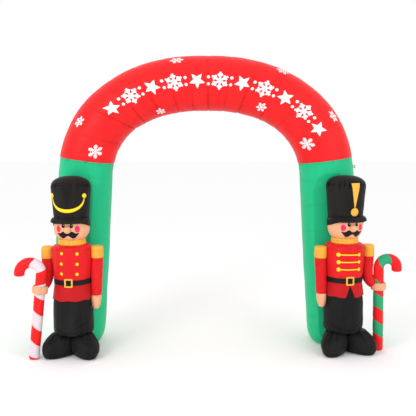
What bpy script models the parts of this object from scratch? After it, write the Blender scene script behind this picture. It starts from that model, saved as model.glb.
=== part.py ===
"""Inflatable holiday archway: a red crown tube on two green leg tubes, with a toy soldier sewn
to the front of each leg, each one holding a striped candy cane. All pieces are shown as they
stand when full of air. Metres, +Z up, the front looks towards -Y, and the origin lies on the
ground under the middle of the whole product."""

import math

import bmesh
import bpy
from mathutils import Matrix, Vector

GAP = 0.0003                  # clearance kept between neighbouring pieces
SIDES = 24                    # facets round a large tube
SHARP_ANGLE = math.radians(40)

# Arch tube. Its centreline is a full-cheeked half ellipse over two legs that lean outwards.
ARCH_X = -0.045
ARCH_Y = 0.168
ARCH_HALF_SPAN = 1.024
ARCH_RISE = 0.779
ARCH_FULLNESS = 2.297         # exponent of the half ellipse, 2 would be a true one
SPRING_Z = 1.435              # height at which the curve passes into the legs
LEG_LEAN = 0.0611             # metres outwards for each metre down
TUBE_R = 0.2286
CROWN_HALF = 1.30             # along the centreline from the top to the red and green seam
LINE_STEPS = 160

# Cross seams of the crown, along the centreline from its top (left of it is negative):
# place, tilt of the seam's plane in degrees, how far the seam draws the tube in
CROWN_SEAMS = (
    (-1.100, -14, 0.0025),
    (-0.875, -19, 0.0050),
    (-0.675, -9, 0.0055),
    (-0.485, -10, 0.0045),
    (-0.295, -9, 0.0035),
    (-0.125, -3, 0.0030),
    (0.018, 0, 0.0045),
    (0.180, 4, 0.0025),
    (0.350, 9, 0.0045),
    (0.565, 6, 0.0045),
    (0.790, 9, 0.0025),
    (1.050, 10, 0.0020),
)
CROWN_END_TILT = 4            # degrees, the red and green seams dip towards the passage
CROWN_END_PULL = 0.002
SEAM_SHOULDER = 0.035         # distance from a seam to the full width of the tube
# Leg sections: height on the leg's axis, how much narrower than the full tube
LEG_ROWS = (
    (1.475, 0.001),
    (1.40, 0.0),
    (1.30, 0.0),
    (1.10, 0.0),
    (0.85, 0.0),
    (0.60, 0.001),
    (0.35, 0.002),
    (0.16, 0.004),
    (0.085, 0.009),
    (0.040, 0.022),
    (0.012, 0.044),
    (0.0, 0.070),
)

# A figure stands in front of each leg, and both are pressed flat where they are sewn together.
# The right one leans further into its leg. By side: height, depth of the pressed face
LEG_PRESS = {
    -1: ((1.30, -0.039), (1.40, -0.039), (1.475, -0.046)),
    1: ((1.30, -0.002), (1.40, -0.021), (1.475, -0.052)),
}
# Tunic, skirt and hanging arm are flattened against each other: height, distance from the axis
SIDE_PRESS = (
    (0.38, 0.1500),
    (0.50, 0.1505),
    (0.60, 0.1525),
    (0.70, 0.1565),
    (0.80, 0.1590),
    (0.92, 0.1590),
)
SIDE_PRESS_FROM = 0.40

# Sections of a figure from the ground up: height, half width, half depth
TROUSERS = (
    (0.1850, 0.141, 0.142),
    (0.1950, 0.156, 0.157),
    (0.2200, 0.1625, 0.162),
    (0.3200, 0.1635, 0.163),
    (0.4200, 0.160, 0.160),
    (0.4500, 0.158, 0.158),
    (0.5000, 0.153, 0.153),
    (0.6000, 0.142, 0.142),
)
TUNIC = (
    (0.6003, 0.147, 0.146),
    (0.6450, 0.149, 0.148),
    (0.7200, 0.156, 0.155),
    (0.8000, 0.162, 0.159),
    (0.8600, 0.164, 0.160),
    (0.8930, 0.161, 0.157),
    (0.9060, 0.149, 0.148),
    (0.9130, 0.132, 0.134),
    (0.9157, 0.113, 0.116),
)
COLLAR = (
    (0.9160, 0.1095, 0.1125),
    (0.9240, 0.1110, 0.1140),
    (0.9380, 0.1085, 0.1115),
    (0.9520, 0.1085, 0.1105),
    (0.9600, 0.1055, 0.1075),
)
HEAD = (
    (0.9603, 0.1035, 0.1055),
    (0.9700, 0.113, 0.115),
    (0.9850, 0.125, 0.127),
    (1.0050, 0.135, 0.137),
    (1.0300, 0.142, 0.144),
    (1.0650, 0.145, 0.146),
    (1.1147, 0.143, 0.145),
)
HAT = (
    (1.1150, 0.1415, 0.1435),
    (1.1600, 0.1435, 0.1455),
    (1.2500, 0.1500, 0.1515),
    (1.3300, 0.1570, 0.1580),
    (1.3760, 0.1605, 0.1615),
    (1.3990, 0.1555, 0.1565),
    (1.4210, 0.1415, 0.1425),
    (1.4450, 0.1080, 0.1090),
    (1.4570, 0.0760, 0.0770),
    (1.4630, 0.0350, 0.0350),
)
# Loose skirt of the tunic, hung from under the belt: height, half width, half depth inside
SKIRT = (
    (0.5997, 0.1470, 0.1460),
    (0.5800, 0.1480, 0.1465),
    (0.5400, 0.1540, 0.1560),
    (0.5000, 0.1590, 0.1630),
    (0.4680, 0.1625, 0.1680),
)
SKIRT_THICK = 0.002
SKIRT_SHARES = (0.0, 0.24, 0.54, 0.70, 0.85, 1.0)
SKIRT_ROOM = 0.006            # the trousers stand this far in behind the skirt
SKIRT_COVERS = (0.44, 0.62)
SKIRT_FOLDS = 8
SKIRT_STATIONS = 40
SKIRT_FOLD_DEPTH = 0.0028     # at the hem
SPLIT_HALF = math.radians(13.5)  # half width of the split at the hem
SPLIT_TOP = 0.586
HEM_DIP = 0.004

BELT_BOTTOM = 0.600
BELT_TOP = 0.643
BELT_THICK = 0.0035
BELT_ROOM = 0.0045            # the tunic stands this far in behind the belt
BELT_COVERS = (0.58, 0.65)
BUCKLE_HALF_WIDTH = 0.033
BUCKLE_HALF_HEIGHT = 0.036
BUCKLE_FRAME = 0.013
BUCKLE_THICK = 0.004
BELT_STATIONS = 48
PATCH_LIFT = 0.0007           # sewn-on patches clear the facets of the form under them
PATCH_THICK = 0.003
BADGE_LIFT = 0.0009
BALL_SEAT = 0.0004            # the balls on the hats are cut to lie this close to them

# Boots: height, half length, half width, shift towards the toe
BOOT_ROWS = (
    (0.0000, 0.128, 0.077, 0.000),
    (0.0120, 0.149, 0.096, 0.000),
    (0.0400, 0.163, 0.108, 0.000),
    (0.0800, 0.166, 0.111, -0.002),
    (0.1200, 0.155, 0.105, -0.010),
    (0.1550, 0.133, 0.094, -0.026),
    (0.1847, 0.102, 0.079, -0.042),
)
BOOT_X = 0.104
BOOT_Y = -0.050
BOOT_SPLAY = math.radians(36)
BOOT_SIDES = 20

# Arms hang beside the tunic: height, half width, half depth, distance from the figure's axis
ARM_X = 0.2025
EPAULETTE = (
    (0.8000, 0.0505, 0.0560, ARM_X),
    (0.8350, 0.0515, 0.0570, ARM_X),
    (0.8680, 0.0490, 0.0530, ARM_X),
    (0.8860, 0.0380, 0.0420, ARM_X),
    (0.8920, 0.0210, 0.0250, ARM_X),
)
STRAIGHT_SLEEVE = (
    (0.5000, 0.0430, 0.0450, 0.1895),
    (0.5100, 0.0445, 0.0465, 0.1900),
    (0.6500, 0.0475, 0.0490, 0.1965),
    (0.7997, 0.0495, 0.0530, ARM_X),
)
MITTEN = (
    (0.3820, 0.0120, 0.0130, 0.1860),
    (0.3880, 0.0210, 0.0220, 0.1860),
    (0.4070, 0.0300, 0.0330, 0.1865),
    (0.4400, 0.0380, 0.0420, 0.1875),
    (0.4750, 0.0425, 0.0450, 0.1885),
    (0.4997, 0.0410, 0.0430, 0.1890),
)
ARM_SIDES = 16
FIST_HALF = Vector((0.064, 0.058, 0.039))
FIST_SEGMENTS = 16
GRIP_LENGTH = 0.24            # stretch of the cane that fist and sleeve are fitted round

CANE_R = 0.0425
CANE_BEVEL = 4                # gives twelve sides
# Round edge at a cane's two ends: distance from the end, share of the full radius
CANE_END = (
    (0.000, 0.79),
    (0.004, 0.93),
    (0.014, 1.00),
)
HOOK_STEPS = 10
WELD = 0.00005

# Visor: share of its full reach, height of the edge, going round its padded section
VISOR_SECTION = (
    (0.00, 1.138),
    (0.45, 1.134),
    (0.85, 1.121),
    (1.00, 1.106),
    (0.88, 1.098),
    (0.45, 1.103),
    (0.00, 1.109),
)
VISOR_REACH = 0.036
VISOR_END_SHARE = 0.15        # of the reach, at the two ends
VISOR_FULLNESS = 4            # exponent, higher keeps the peak deep further round
VISOR_SEAT_Z = 1.16
VISOR_HALF_ANGLE = math.radians(76)
VISOR_STEPS = 20

# Hair on the back of the head: angle from the face in degrees, height of the lower edge
HAIR_EDGE = (
    (45, 1.0930),
    (60, 1.0830),
    (75, 1.0700),
    (90, 1.0620),
    (105, 1.0550),
    (120, 0.9850),
    (150, 0.9750),
    (180, 0.9740),
)
HAIR_TOP = 1.1145
HAIR_UNDER_VISOR = 1.0972
HAIR_LIFT = 0.0022
HAIR_THICK = 0.0025
HAIR_ROOM = 0.0090            # the head stands this far in behind the hair
HAIR_SHARES = (0.0, 0.083, 0.159, 0.249, 0.346, 0.623, 1.0)   # closer where the jaw curves
HAIR_STEP = 2 * math.pi / SIDES

NOSE_HALF = Vector((0.030, 0.034, 0.031))
NOSE_Z = 1.050
NOSE_SEGMENTS = 16
# Moustache: distance from the middle, height of its midline, half height
MOUSTACHE = (
    (0.000, 1.0085, 0.0080),
    (0.010, 1.0090, 0.0095),
    (0.020, 1.0090, 0.0160),
    (0.034, 1.0085, 0.0260),
    (0.048, 1.0050, 0.0225),
    (0.060, 1.0035, 0.0165),
    (0.072, 1.0080, 0.0105),
    (0.084, 1.0155, 0.0055),
    (0.093, 1.0200, 0.0020),
)
# Chain across one hat: a half ellipse with a ball at each end
SWAG_HALF_SPAN = 0.148
SWAG_END_Z = 1.306
SWAG_DROP = 0.108
SWAG_HALF_WIDTH = 0.0135
SWAG_TAPER = 0.75
SWAG_TAPER_POWER = 1.6
SWAG_SWEEP = 0.94 * math.pi   # the crescent ends just inside the two balls
SWAG_STEPS = 24
SWAG_BALL_R = 0.019
# Plume on the other hat: a wedge that points down to a ball
PLUME_TOP = 1.3990
PLUME_TIP = 1.2150
PLUME_HALF_WIDTH = 0.0365
PLUME_POINT = 0.003
PLUME_STEPS = 8
PLUME_BALL_Z = 1.180
PLUME_BALL_R = 0.033
BALL_STEPS = 12
BALL_THICK = 0.008
# Section of a padded ball on a hat: share of its radius, share of its thickness
BALL_SECTION = (
    (0.95, -0.3),
    (1.00, 0.5),
    (0.60, 1.0),
)

# Webbing loop for a guy line on the outer side of the right leg
LOOP_Z = 1.518
LOOP_HALF_HEIGHT = 0.013
LOOP_REACH = 0.020
LOOP_WIDTH = 0.022
LOOP_THICK = 0.0025
LOOP_ARC_STEPS = 8
LOOP_SEAT = 0.0009

# Each figure: name, side (-1 is the left), its axis, how far body, head and feet are turned
# outwards in degrees, the hem's height, the cane's foot, shaft top, hook radius and hook end
FIGURES = (
    {
        "name": "left",
        "side": -1,
        "x": -1.127,
        "y": -0.192,
        "body_turn": 3,
        "head_turn": 3,
        "foot_turn": 3,
        "foot_shift": -0.005,
        "hem": 0.478,
        "foot": (0.3005, -0.130),
        "shaft_top": (0.2248, 0.6966),
        "hook_r": 0.0872,
        "hook_end": 0.6775,
        # distance from the axis, depth, height, radius
        "bent_arm": (
            (0.2025, 0.000, 0.7997, 0.0495),
            (0.203, 0.002, 0.7200, 0.0495),
            (0.202, -0.012, 0.6550, 0.0480),
            (0.206, -0.040, 0.6120, 0.0450),
            (0.216, -0.070, 0.5860, 0.0410),
            (0.224, -0.094, 0.5760, 0.0360),
        ),
        "fist_z": 0.568,
        "arm_lift": {"inner": 0.008, "outer": 0.0},
        "hat_badge": "swag",
        "split_skirt": False,
    },
    {
        "name": "right",
        "side": 1,
        "x": 1.090,
        "y": -0.117,
        "body_turn": 9,
        "head_turn": 15,
        "foot_turn": 10,
        "foot_shift": 0.016,
        "hem": 0.490,
        "foot": (0.3024, 0.029),
        "shaft_top": (0.2917, 0.6968),
        "hook_r": 0.0745,
        "hook_end": 0.6664,
        "bent_arm": (
            (0.2025, 0.000, 0.7997, 0.0495),
            (0.200, 0.000, 0.7200, 0.0495),
            (0.196, 0.000, 0.6650, 0.0480),
            (0.202, -0.004, 0.6250, 0.0465),
            (0.224, -0.010, 0.5850, 0.0430),
            (0.248, -0.014, 0.5600, 0.0365),
        ),
        "fist_z": 0.543,
        "arm_lift": {"inner": -0.004, "outer": 0.0},
        "hat_badge": "plume",
        "split_skirt": True,
    },
)

RED = (0.85, 0.045, 0.035, 1.0)
DARK_RED = (0.70, 0.025, 0.030, 1.0)
GREEN = (0.030, 0.50, 0.23, 1.0)
BLACK = (0.020, 0.020, 0.022, 1.0)
GOLD = (0.90, 0.52, 0.10, 1.0)
YELLOW = (0.95, 0.75, 0.05, 1.0)
SKIN = (0.88, 0.56, 0.36, 1.0)
WHITE = (0.90, 0.84, 0.86, 1.0)

for old in list(bpy.data.objects):
    bpy.data.objects.remove(old, do_unlink=True)

parts = bpy.data.collections.new("inflatable_archway")
cutters = bpy.data.collections.new("cutters")
bpy.context.scene.collection.children.link(parts)
bpy.context.scene.collection.children.link(cutters)


def cloth(name, colour):
    """Coated polyester of one colour, slightly glossy."""
    material = bpy.data.materials.new(name)
    material.use_nodes = True
    shader = material.node_tree.nodes["Principled BSDF"]
    shader.inputs["Base Color"].default_value = colour
    shader.inputs["Roughness"].default_value = 0.45
    shader.inputs["Metallic"].default_value = 0.0
    return material


def add_piece(name, mesh, colour, parent=None, collection=parts):
    """Puts a mesh in the scene as one named piece with its own material."""
    mesh.name = name
    mesh.materials.append(cloth(name, colour))
    mesh.shade_smooth()
    mesh.set_sharp_from_angle(angle=SHARP_ANGLE)
    piece = bpy.data.objects.new(name, mesh)
    piece.parent = parent
    collection.objects.link(piece)
    return piece


def loft(rings, closed=False):
    """A mesh through rings of equal point counts, capped at both ends unless it is closed."""
    work = bmesh.new()
    loops = [[work.verts.new(point) for point in ring] for ring in rings]
    pairs = list(zip(loops, loops[1:]))
    if closed:
        pairs.append((loops[-1], loops[0]))
    for near, far in pairs:
        for i in range(len(near)):
            j = (i + 1) % len(near)
            work.faces.new((near[i], near[j], far[j], far[i]))
    if not closed:
        work.faces.new(list(reversed(loops[0])))
        work.faces.new(loops[-1])
    bmesh.ops.recalc_face_normals(work, faces=work.faces)
    mesh = bpy.data.meshes.new("loft")
    work.to_mesh(mesh)
    work.free()
    return mesh


def row_at(table, z):
    """The other values of a table of heights, at any height."""
    rows = sorted(table)
    z = min(max(z, rows[0][0]), rows[-1][0])
    for low, high in zip(rows, rows[1:]):
        if z <= high[0]:
            share = (z - low[0]) / (high[0] - low[0])
            return tuple(a + (b - a) * share for a, b in zip(low[1:3], high[1:3]))
    return rows[-1][1:3]


def press_back(point, figure, turn=0.0, room=0.0):
    """Keeps a figure's point in front of the face where it is sewn to the leg."""
    x, y, z = point
    limit = row_at(LEG_PRESS[figure["side"]], z)[0] - GAP - room - figure["y"]
    return (x, min(y, (limit - math.sin(turn) * x) / math.cos(turn)), z)


def press_side(point, side, room):
    """Keeps a point on its own side of the plane where the hanging arm rests."""
    x, y, z = point
    if z < SIDE_PRESS_FROM:
        return point
    return (side * min(side * x, row_at(SIDE_PRESS, z)[0] - room), y, z)


def section(z, wide, deep, x=0.0, y=0.0, sides=SIDES):
    """Points of an elliptical section, from the front round to the right."""
    turns = [2 * math.pi * i / sides for i in range(sides)]
    return [(x + wide * math.sin(a), y - deep * math.cos(a), z) for a in turns]


def column(table, figure, turn=0.0, grow=0.0, pressed_sides=(), room=0.0, covered=(0.0, 2.0)):
    """A stack of elliptical sections, flat at the back and where an arm rests on it.

    Between the two covered heights it keeps room at the flats for the sheet sewn over it."""
    rings = []
    for z, wide, deep in table:
        kept = room if covered[0] < z < covered[1] else 0.0
        ring = section(z, wide + grow, deep + grow)
        for side in pressed_sides:
            ring = [press_side(point, side, kept) for point in ring]
        rings.append([press_back(point, figure, turn, kept) for point in ring])
    return loft(rings)


def on_form(table, along, z, lift):
    """A point on the front of a stack: distance round it from the middle, height, clearance."""
    wide, deep = row_at(table, z)
    angle = along / wide
    return ((wide + lift) * math.sin(angle), -(deep + lift) * math.cos(angle), z)


def wrapped_band(table, figure, turn, angles, low, high, lift, thick, shares, closed):
    """A sheet round a stack of sections, between a lower and an upper edge set by angle."""
    rings = []
    for angle in angles:
        inside, outside = [], []
        for share in shares:
            z = low(angle) + (high(angle) - low(angle)) * share
            wide, deep = row_at(table, z)
            reach = lift(angle, z)
            for points, extra in ((inside, reach), (outside, reach + thick)):
                x = (wide + extra) * math.sin(angle)
                room = reach + thick - extra
                point = (x, -(deep + extra) * math.cos(angle), z)
                point = press_side(point, -figure["side"], GAP + room)
                points.append(press_back(point, figure, turn, room))
        rings.append(inside + outside[::-1])
    return loft(rings, closed)


def ribbon(table, stations, lift, thick, lanes=1, closed=False):
    """A flat patch on a stack, from pairs of edge points given as (distance round, height)."""
    rings = []
    for first, second in stations:
        first, second = Vector(first), Vector(second)
        line = [first.lerp(second, i / lanes) for i in range(lanes + 1)]
        back = [on_form(table, *point, lift) for point in line]
        front = [on_form(table, *point, lift + thick) for point in line]
        rings.append(back + front[::-1])
    return loft(rings, closed)


def button(table, along, z, radius, thick):
    """A round padded patch on a stack of sections."""
    rings = []
    for share, lift in BALL_SECTION:
        ring = []
        for i in range(BALL_STEPS):
            angle = 2 * math.pi * i / BALL_STEPS
            u = along + share * radius * math.cos(angle)
            v = z + share * radius * math.sin(angle)
            ring.append(on_form(table, u, v, lift * thick))
        rings.append(ring)
    return loft(rings)


def cut(piece, tool):
    """Takes the tool's shape out of a piece and keeps the tool hidden."""
    tool.hide_render = True
    tool.display_type = "WIRE"
    modifier = piece.modifiers.new("fit", "BOOLEAN")
    modifier.operation = "DIFFERENCE"
    modifier.solver = "EXACT"
    modifier.object = tool


# Arch tube

def lean_out(across, z):
    """Moves a point of the upright arch line outwards as the legs lean."""
    return (across * (1 + LEG_LEAN * (SPRING_Z - z) / ARCH_HALF_SPAN), z)


def arch_half_line():
    """The right half of the centreline from the top to the ground, with its running length."""
    points = []
    for i in range(LINE_STEPS + 1):
        t = math.pi / 2 * i / LINE_STEPS
        across = ARCH_HALF_SPAN * math.sin(t) ** (2 / ARCH_FULLNESS)
        z = SPRING_Z + ARCH_RISE * max(math.cos(t), 0.0) ** (2 / ARCH_FULLNESS)
        points.append(lean_out(across, z))
    points.append(lean_out(ARCH_HALF_SPAN, 0.0))
    lengths = [0.0]
    for near, far in zip(points, points[1:]):
        lengths.append(lengths[-1] + math.dist(near, far))
    return points, lengths


LINE, LENGTHS = arch_half_line()


def arch_at(place):
    """Point and outward direction of the centreline at a length from the top."""
    side = -1 if place < 0 else 1
    distance = min(abs(place), LENGTHS[-1])
    step = next(i for i in range(1, len(LENGTHS)) if LENGTHS[i] >= distance)
    near, far = Vector(LINE[step - 1]), Vector(LINE[step])
    share = (distance - LENGTHS[step - 1]) / (LENGTHS[step] - LENGTHS[step - 1])
    point = near.lerp(far, share)
    along = (far - near).normalized()
    return Vector((side * point.x, point.y)), Vector((side * -along.y, along.x))


def tube_ring(place, tilt, pull):
    """A round section of the arch tube, its plane tilted by some degrees."""
    centre, outward = arch_at(place)
    outward = Matrix.Rotation(-math.radians(tilt), 2) @ outward
    radius = TUBE_R - pull
    ring = []
    for i in range(SIDES):
        angle = 2 * math.pi * i / SIDES
        up = radius / math.cos(math.radians(tilt)) * math.cos(angle)
        spot = centre + outward * up
        ring.append((ARCH_X + spot.x, ARCH_Y + radius * math.sin(angle), spot.y))
    return ring


def crown_rings():
    """Sections of the crown: each seam is drawn in, and the tube is full between seams."""
    trim = GAP / 2
    seams = [(-CROWN_HALF + trim, -CROWN_END_TILT, CROWN_END_PULL)]
    seams += list(CROWN_SEAMS)
    seams += [(CROWN_HALF - trim, CROWN_END_TILT, CROWN_END_PULL)]
    rings = [tube_ring(*seams[0])]
    for near, far in zip(seams, seams[1:]):
        span = far[0] - near[0]
        for share in (SEAM_SHOULDER / span, 1 - SEAM_SHOULDER / span):
            place = near[0] + span * share
            tilt = near[1] + (far[1] - near[1]) * share
            rings.append(tube_ring(place, tilt, 0.0))
        rings.append(tube_ring(*far))
    return rings


def leg_rings(side):
    """Sections of a leg from the seam to its flat, round-edged bottom."""
    top = side * (CROWN_HALF + GAP / 2)
    rings = [tube_ring(top, side * CROWN_END_TILT, CROWN_END_PULL)]
    for z, pull in LEG_ROWS:
        foot, _ = lean_out(ARCH_HALF_SPAN, z)
        radius = TUBE_R - pull
        centre = ARCH_X + side * foot
        ring = []
        for i in range(SIDES):
            angle = 2 * math.pi * i / SIDES
            ring.append((
                centre + side * radius * math.cos(angle),
                ARCH_Y + radius * math.sin(angle),
                z,
            ))
        rings.append(ring)
    face = LEG_PRESS[side]
    pressed = [[(x, max(y, row_at(face, z)[0]), z) for x, y, z in ring] for ring in rings[1:]]
    return rings[:1] + pressed


add_piece("arch_crown", loft(crown_rings()), RED)
for leg_name, leg_side in (("arch_leg_left", -1), ("arch_leg_right", 1)):
    add_piece(leg_name, loft(leg_rings(leg_side)), GREEN)


def loop_outline(inset):
    """A D shape, flat towards the leg and round outside."""
    radius = LOOP_HALF_HEIGHT - inset
    straight = LOOP_REACH - LOOP_HALF_HEIGHT
    points = [(inset, -radius)]
    for i in range(LOOP_ARC_STEPS + 1):
        angle = -math.pi / 2 + math.pi * i / LOOP_ARC_STEPS
        points.append((straight + radius * math.cos(angle), radius * math.sin(angle)))
    points.append((inset, radius))
    return points


def add_tether_loop():
    """The webbing loop, as a flat outline with a hole, extruded to the webbing's width."""
    shape = bpy.data.curves.new("tether_loop", "CURVE")
    shape.dimensions = "2D"
    shape.fill_mode = "BOTH"
    shape.extrude = LOOP_WIDTH / 2
    for inset in (0.0, LOOP_THICK):
        outline = loop_outline(inset)
        spline = shape.splines.new("POLY")
        spline.points.add(len(outline) - 1)
        for point, (out, up) in zip(spline.points, outline):
            point.co = (out, up, 0.0, 1.0)
        spline.use_cyclic_u = True
    shape.materials.append(cloth("tether_loop", BLACK))
    loop = bpy.data.objects.new("tether_loop", shape)
    foot, _ = min(LINE, key=lambda point: abs(point[1] - LOOP_Z))
    loop.location = (ARCH_X + foot + TUBE_R + LOOP_SEAT, ARCH_Y, LOOP_Z)
    loop.rotation_euler = (math.pi / 2, 0.0, 0.0)
    parts.objects.link(loop)


add_tether_loop()


# Figures

def stacked(table, side, lift=0.0):
    """An arm piece from rows of height, half width, half depth and distance from the axis."""
    rings = []
    for z, wide, deep, out in table:
        ring = section(z + lift, wide, deep, x=side * out, sides=ARM_SIDES)
        rings.append([beside_tunic(point, side) for point in ring])
    return loft(rings)


def beside_tunic(point, side):
    """Flattens an arm's inner side against the tunic."""
    x, y, z = point
    return (side * max(side * x, row_at(SIDE_PRESS, z)[0] + GAP), y, z)


def bent_sleeve(path, side):
    """The sleeve that reaches forward to the cane, swept along its path."""
    stops = [Vector((side * x, y, z)) for x, y, z, _ in path]
    rings = []
    for i, (stop, row) in enumerate(zip(stops, path)):
        ahead = stops[min(i + 1, len(stops) - 1)] - stops[max(i - 1, 0)]
        along = Vector((0, 0, -1)) if i == 0 else ahead.normalized()
        across = Vector((0, 1, 0)).cross(along).normalized()
        deep = along.cross(across)
        ring = []
        for k in range(ARM_SIDES):
            angle = 2 * math.pi * k / ARM_SIDES
            point = stop + row[3] * (across * math.cos(angle) + deep * math.sin(angle))
            ring.append(beside_tunic(point, side))
        rings.append(ring)
    return loft(rings)


def ball(name, half, place, segments, colour, parent, collection=parts):
    """An ellipsoid with its scale already in its mesh."""
    work = bmesh.new()
    bmesh.ops.create_uvsphere(work, u_segments=segments, v_segments=segments // 2, radius=1.0)
    bmesh.ops.scale(work, vec=half, verts=work.verts)
    mesh = bpy.data.meshes.new(name)
    work.to_mesh(mesh)
    work.free()
    piece = add_piece(name, mesh, colour, parent, collection)
    piece.location = place
    return piece


def boot(side, foot_turn, shift_out):
    """A soft round-toed boot, splayed outwards and flat where the two boots meet."""
    splay = side * BOOT_SPLAY + foot_turn
    toe = Vector((math.sin(splay), -math.cos(splay)))
    across = Vector((toe.y, -toe.x))
    middle = Matrix.Rotation(foot_turn, 2) @ Vector((side * BOOT_X, BOOT_Y))
    rings = []
    for z, long, wide, shift in BOOT_ROWS:
        ring = []
        for i in range(BOOT_SIDES):
            angle = 2 * math.pi * i / BOOT_SIDES
            spot = middle + toe * (shift + long * math.cos(angle)) + across * wide * math.sin(angle)
            x, y, z = apart(spot, side, foot_turn, z)
            ring.append((x + shift_out, y, z))
        rings.append(ring)
    return loft(rings)


def apart(spot, side, foot_turn, z):
    """Keeps a boot on its own side of the plane between the two boots."""
    local = Matrix.Rotation(-foot_turn, 2) @ spot
    local.x = side * max(side * local.x, GAP)
    spot = Matrix.Rotation(foot_turn, 2) @ local
    return (spot.x, spot.y, z)


def skirt_mesh(figure, turn):
    """Loose skirt with soft folds and, where it is split, a notch at the front."""
    def low(angle):
        from_front = abs((angle + math.pi) % (2 * math.pi) - math.pi)
        hem = figure["hem"] + HEM_DIP * math.cos(SKIRT_FOLDS * angle)
        if figure["split_skirt"] and from_front < SPLIT_HALF:
            return SPLIT_TOP + (hem - SPLIT_TOP) * from_front / SPLIT_HALF
        return hem

    def folds(angle, z):
        share = (SKIRT[0][0] - z) / (SKIRT[0][0] - SKIRT[-1][0])
        return SKIRT_FOLD_DEPTH * share * math.cos(SKIRT_FOLDS * angle) * math.cos(angle) ** 2

    angles = [2 * math.pi * i / SKIRT_STATIONS for i in range(SKIRT_STATIONS)]
    top = SKIRT[0][0]
    return wrapped_band(SKIRT, figure, turn, angles, low, lambda angle: top, folds, SKIRT_THICK,
                        SKIRT_SHARES, True)


def belt_mesh(figure, turn):
    """A band sewn round the foot of the tunic."""
    angles = [2 * math.pi * i / BELT_STATIONS for i in range(BELT_STATIONS)]
    lift = PATCH_LIFT / 2
    return wrapped_band(
        TUNIC, figure, turn, angles, lambda a: BELT_BOTTOM + GAP, lambda a: BELT_TOP,
        lambda a, z: lift, BELT_THICK, (0.0, 1.0), True)


def buckle_mesh():
    """A square frame sewn over the belt, the belt showing through it."""
    across = (-1.0, -0.6, -0.2, 0.2, 0.6)
    corners = [(u, -1) for u in across] + [(1, -1), (1, 0)]
    corners += [(-u, 1) for u in across] + [(-1, 1), (-1, 0)]
    middle = (BELT_BOTTOM + BELT_TOP) / 2
    stations = []
    for u, v in corners:
        inner = (u * (BUCKLE_HALF_WIDTH - BUCKLE_FRAME), v * (BUCKLE_HALF_HEIGHT - BUCKLE_FRAME))
        outer = (u * BUCKLE_HALF_WIDTH, v * BUCKLE_HALF_HEIGHT)
        stations.append(((inner[0], middle + inner[1]), (outer[0], middle + outer[1])))
    return ribbon(TUNIC, stations, BELT_THICK + PATCH_LIFT, BUCKLE_THICK, closed=True)


def hair_mesh(figure, turn):
    """Black panel over the back of the head, with a short step at each temple."""
    def low(angle):
        degrees = math.degrees(min(angle, 2 * math.pi - angle))
        for (a0, z0), (a1, z1) in zip(HAIR_EDGE, HAIR_EDGE[1:]):
            if degrees <= a1:
                return z0 + (z1 - z0) * max(degrees - a0, 0) / (a1 - a0)
        return HAIR_EDGE[-1][1]

    def high(angle):
        under = VISOR_HALF_ANGLE
        return HAIR_UNDER_VISOR if min(angle, 2 * math.pi - angle) < under else HAIR_TOP

    first = math.radians(HAIR_EDGE[0][0])
    count = round((2 * math.pi - 2 * first) / HAIR_STEP)
    angles = [first + (2 * math.pi - 2 * first) * i / count for i in range(count + 1)]
    return wrapped_band(
        HEAD, figure, turn, angles, low, high, lambda a, z: HAIR_LIFT, HAIR_THICK,
        HAIR_SHARES, False)


def visor_mesh():
    """Padded peak round the front of the hat, deepest in the middle."""
    rings = []
    wide, deep = row_at(HAT, VISOR_SEAT_Z)
    for i in range(VISOR_STEPS + 1):
        part = 2 * i / VISOR_STEPS - 1
        angle = VISOR_HALF_ANGLE * part
        bulge = math.sqrt(1 - abs(part) ** VISOR_FULLNESS)
        reach = VISOR_REACH * (VISOR_END_SHARE + (1 - VISOR_END_SHARE) * bulge)
        ring = []
        for share, z in VISOR_SECTION:
            out = PATCH_LIFT + share * reach
            ring.append(((wide + out) * math.sin(angle), -(deep + out) * math.cos(angle), z))
        rings.append(ring)
    return loft(rings)


def moustache_mesh():
    """A flat padded patch with two lobes and turned-up ends."""
    rows = [(-u, z, half) for u, z, half in MOUSTACHE[:0:-1]] + list(MOUSTACHE)
    stations = [((u, z - half), (u, z + half)) for u, z, half in rows]
    return ribbon(HEAD, stations, PATCH_LIFT, PATCH_THICK, lanes=2)


def swag_mesh():
    """The chain's crescent between its two balls."""
    stations = []
    for i in range(SWAG_STEPS + 1):
        turn = SWAG_SWEEP * (i / SWAG_STEPS - 0.5)
        taper = SWAG_TAPER * abs(2 * i / SWAG_STEPS - 1) ** SWAG_TAPER_POWER
        half = SWAG_HALF_WIDTH * (1 - taper)
        across = Vector((math.sin(turn) * SWAG_DROP, -math.cos(turn) * SWAG_HALF_SPAN))
        across = across.normalized() * half
        u = SWAG_HALF_SPAN * math.sin(turn)
        z = SWAG_END_Z - SWAG_DROP * math.cos(turn)
        stations.append(((u - across.x, z - across.y), (u + across.x, z + across.y)))
    return ribbon(HAT, stations, BADGE_LIFT, PATCH_THICK, lanes=2)


def plume_mesh():
    """The wedge above the ball."""
    stations = []
    for i in range(PLUME_STEPS + 1):
        share = i / PLUME_STEPS
        z = PLUME_TIP + (PLUME_TOP - PLUME_TIP) * share
        half = PLUME_POINT + (PLUME_HALF_WIDTH - PLUME_POINT) * share
        stations.append(((-half, z), (half, z)))
    return ribbon(HAT, stations, BADGE_LIFT, PATCH_THICK, lanes=4)


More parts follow.
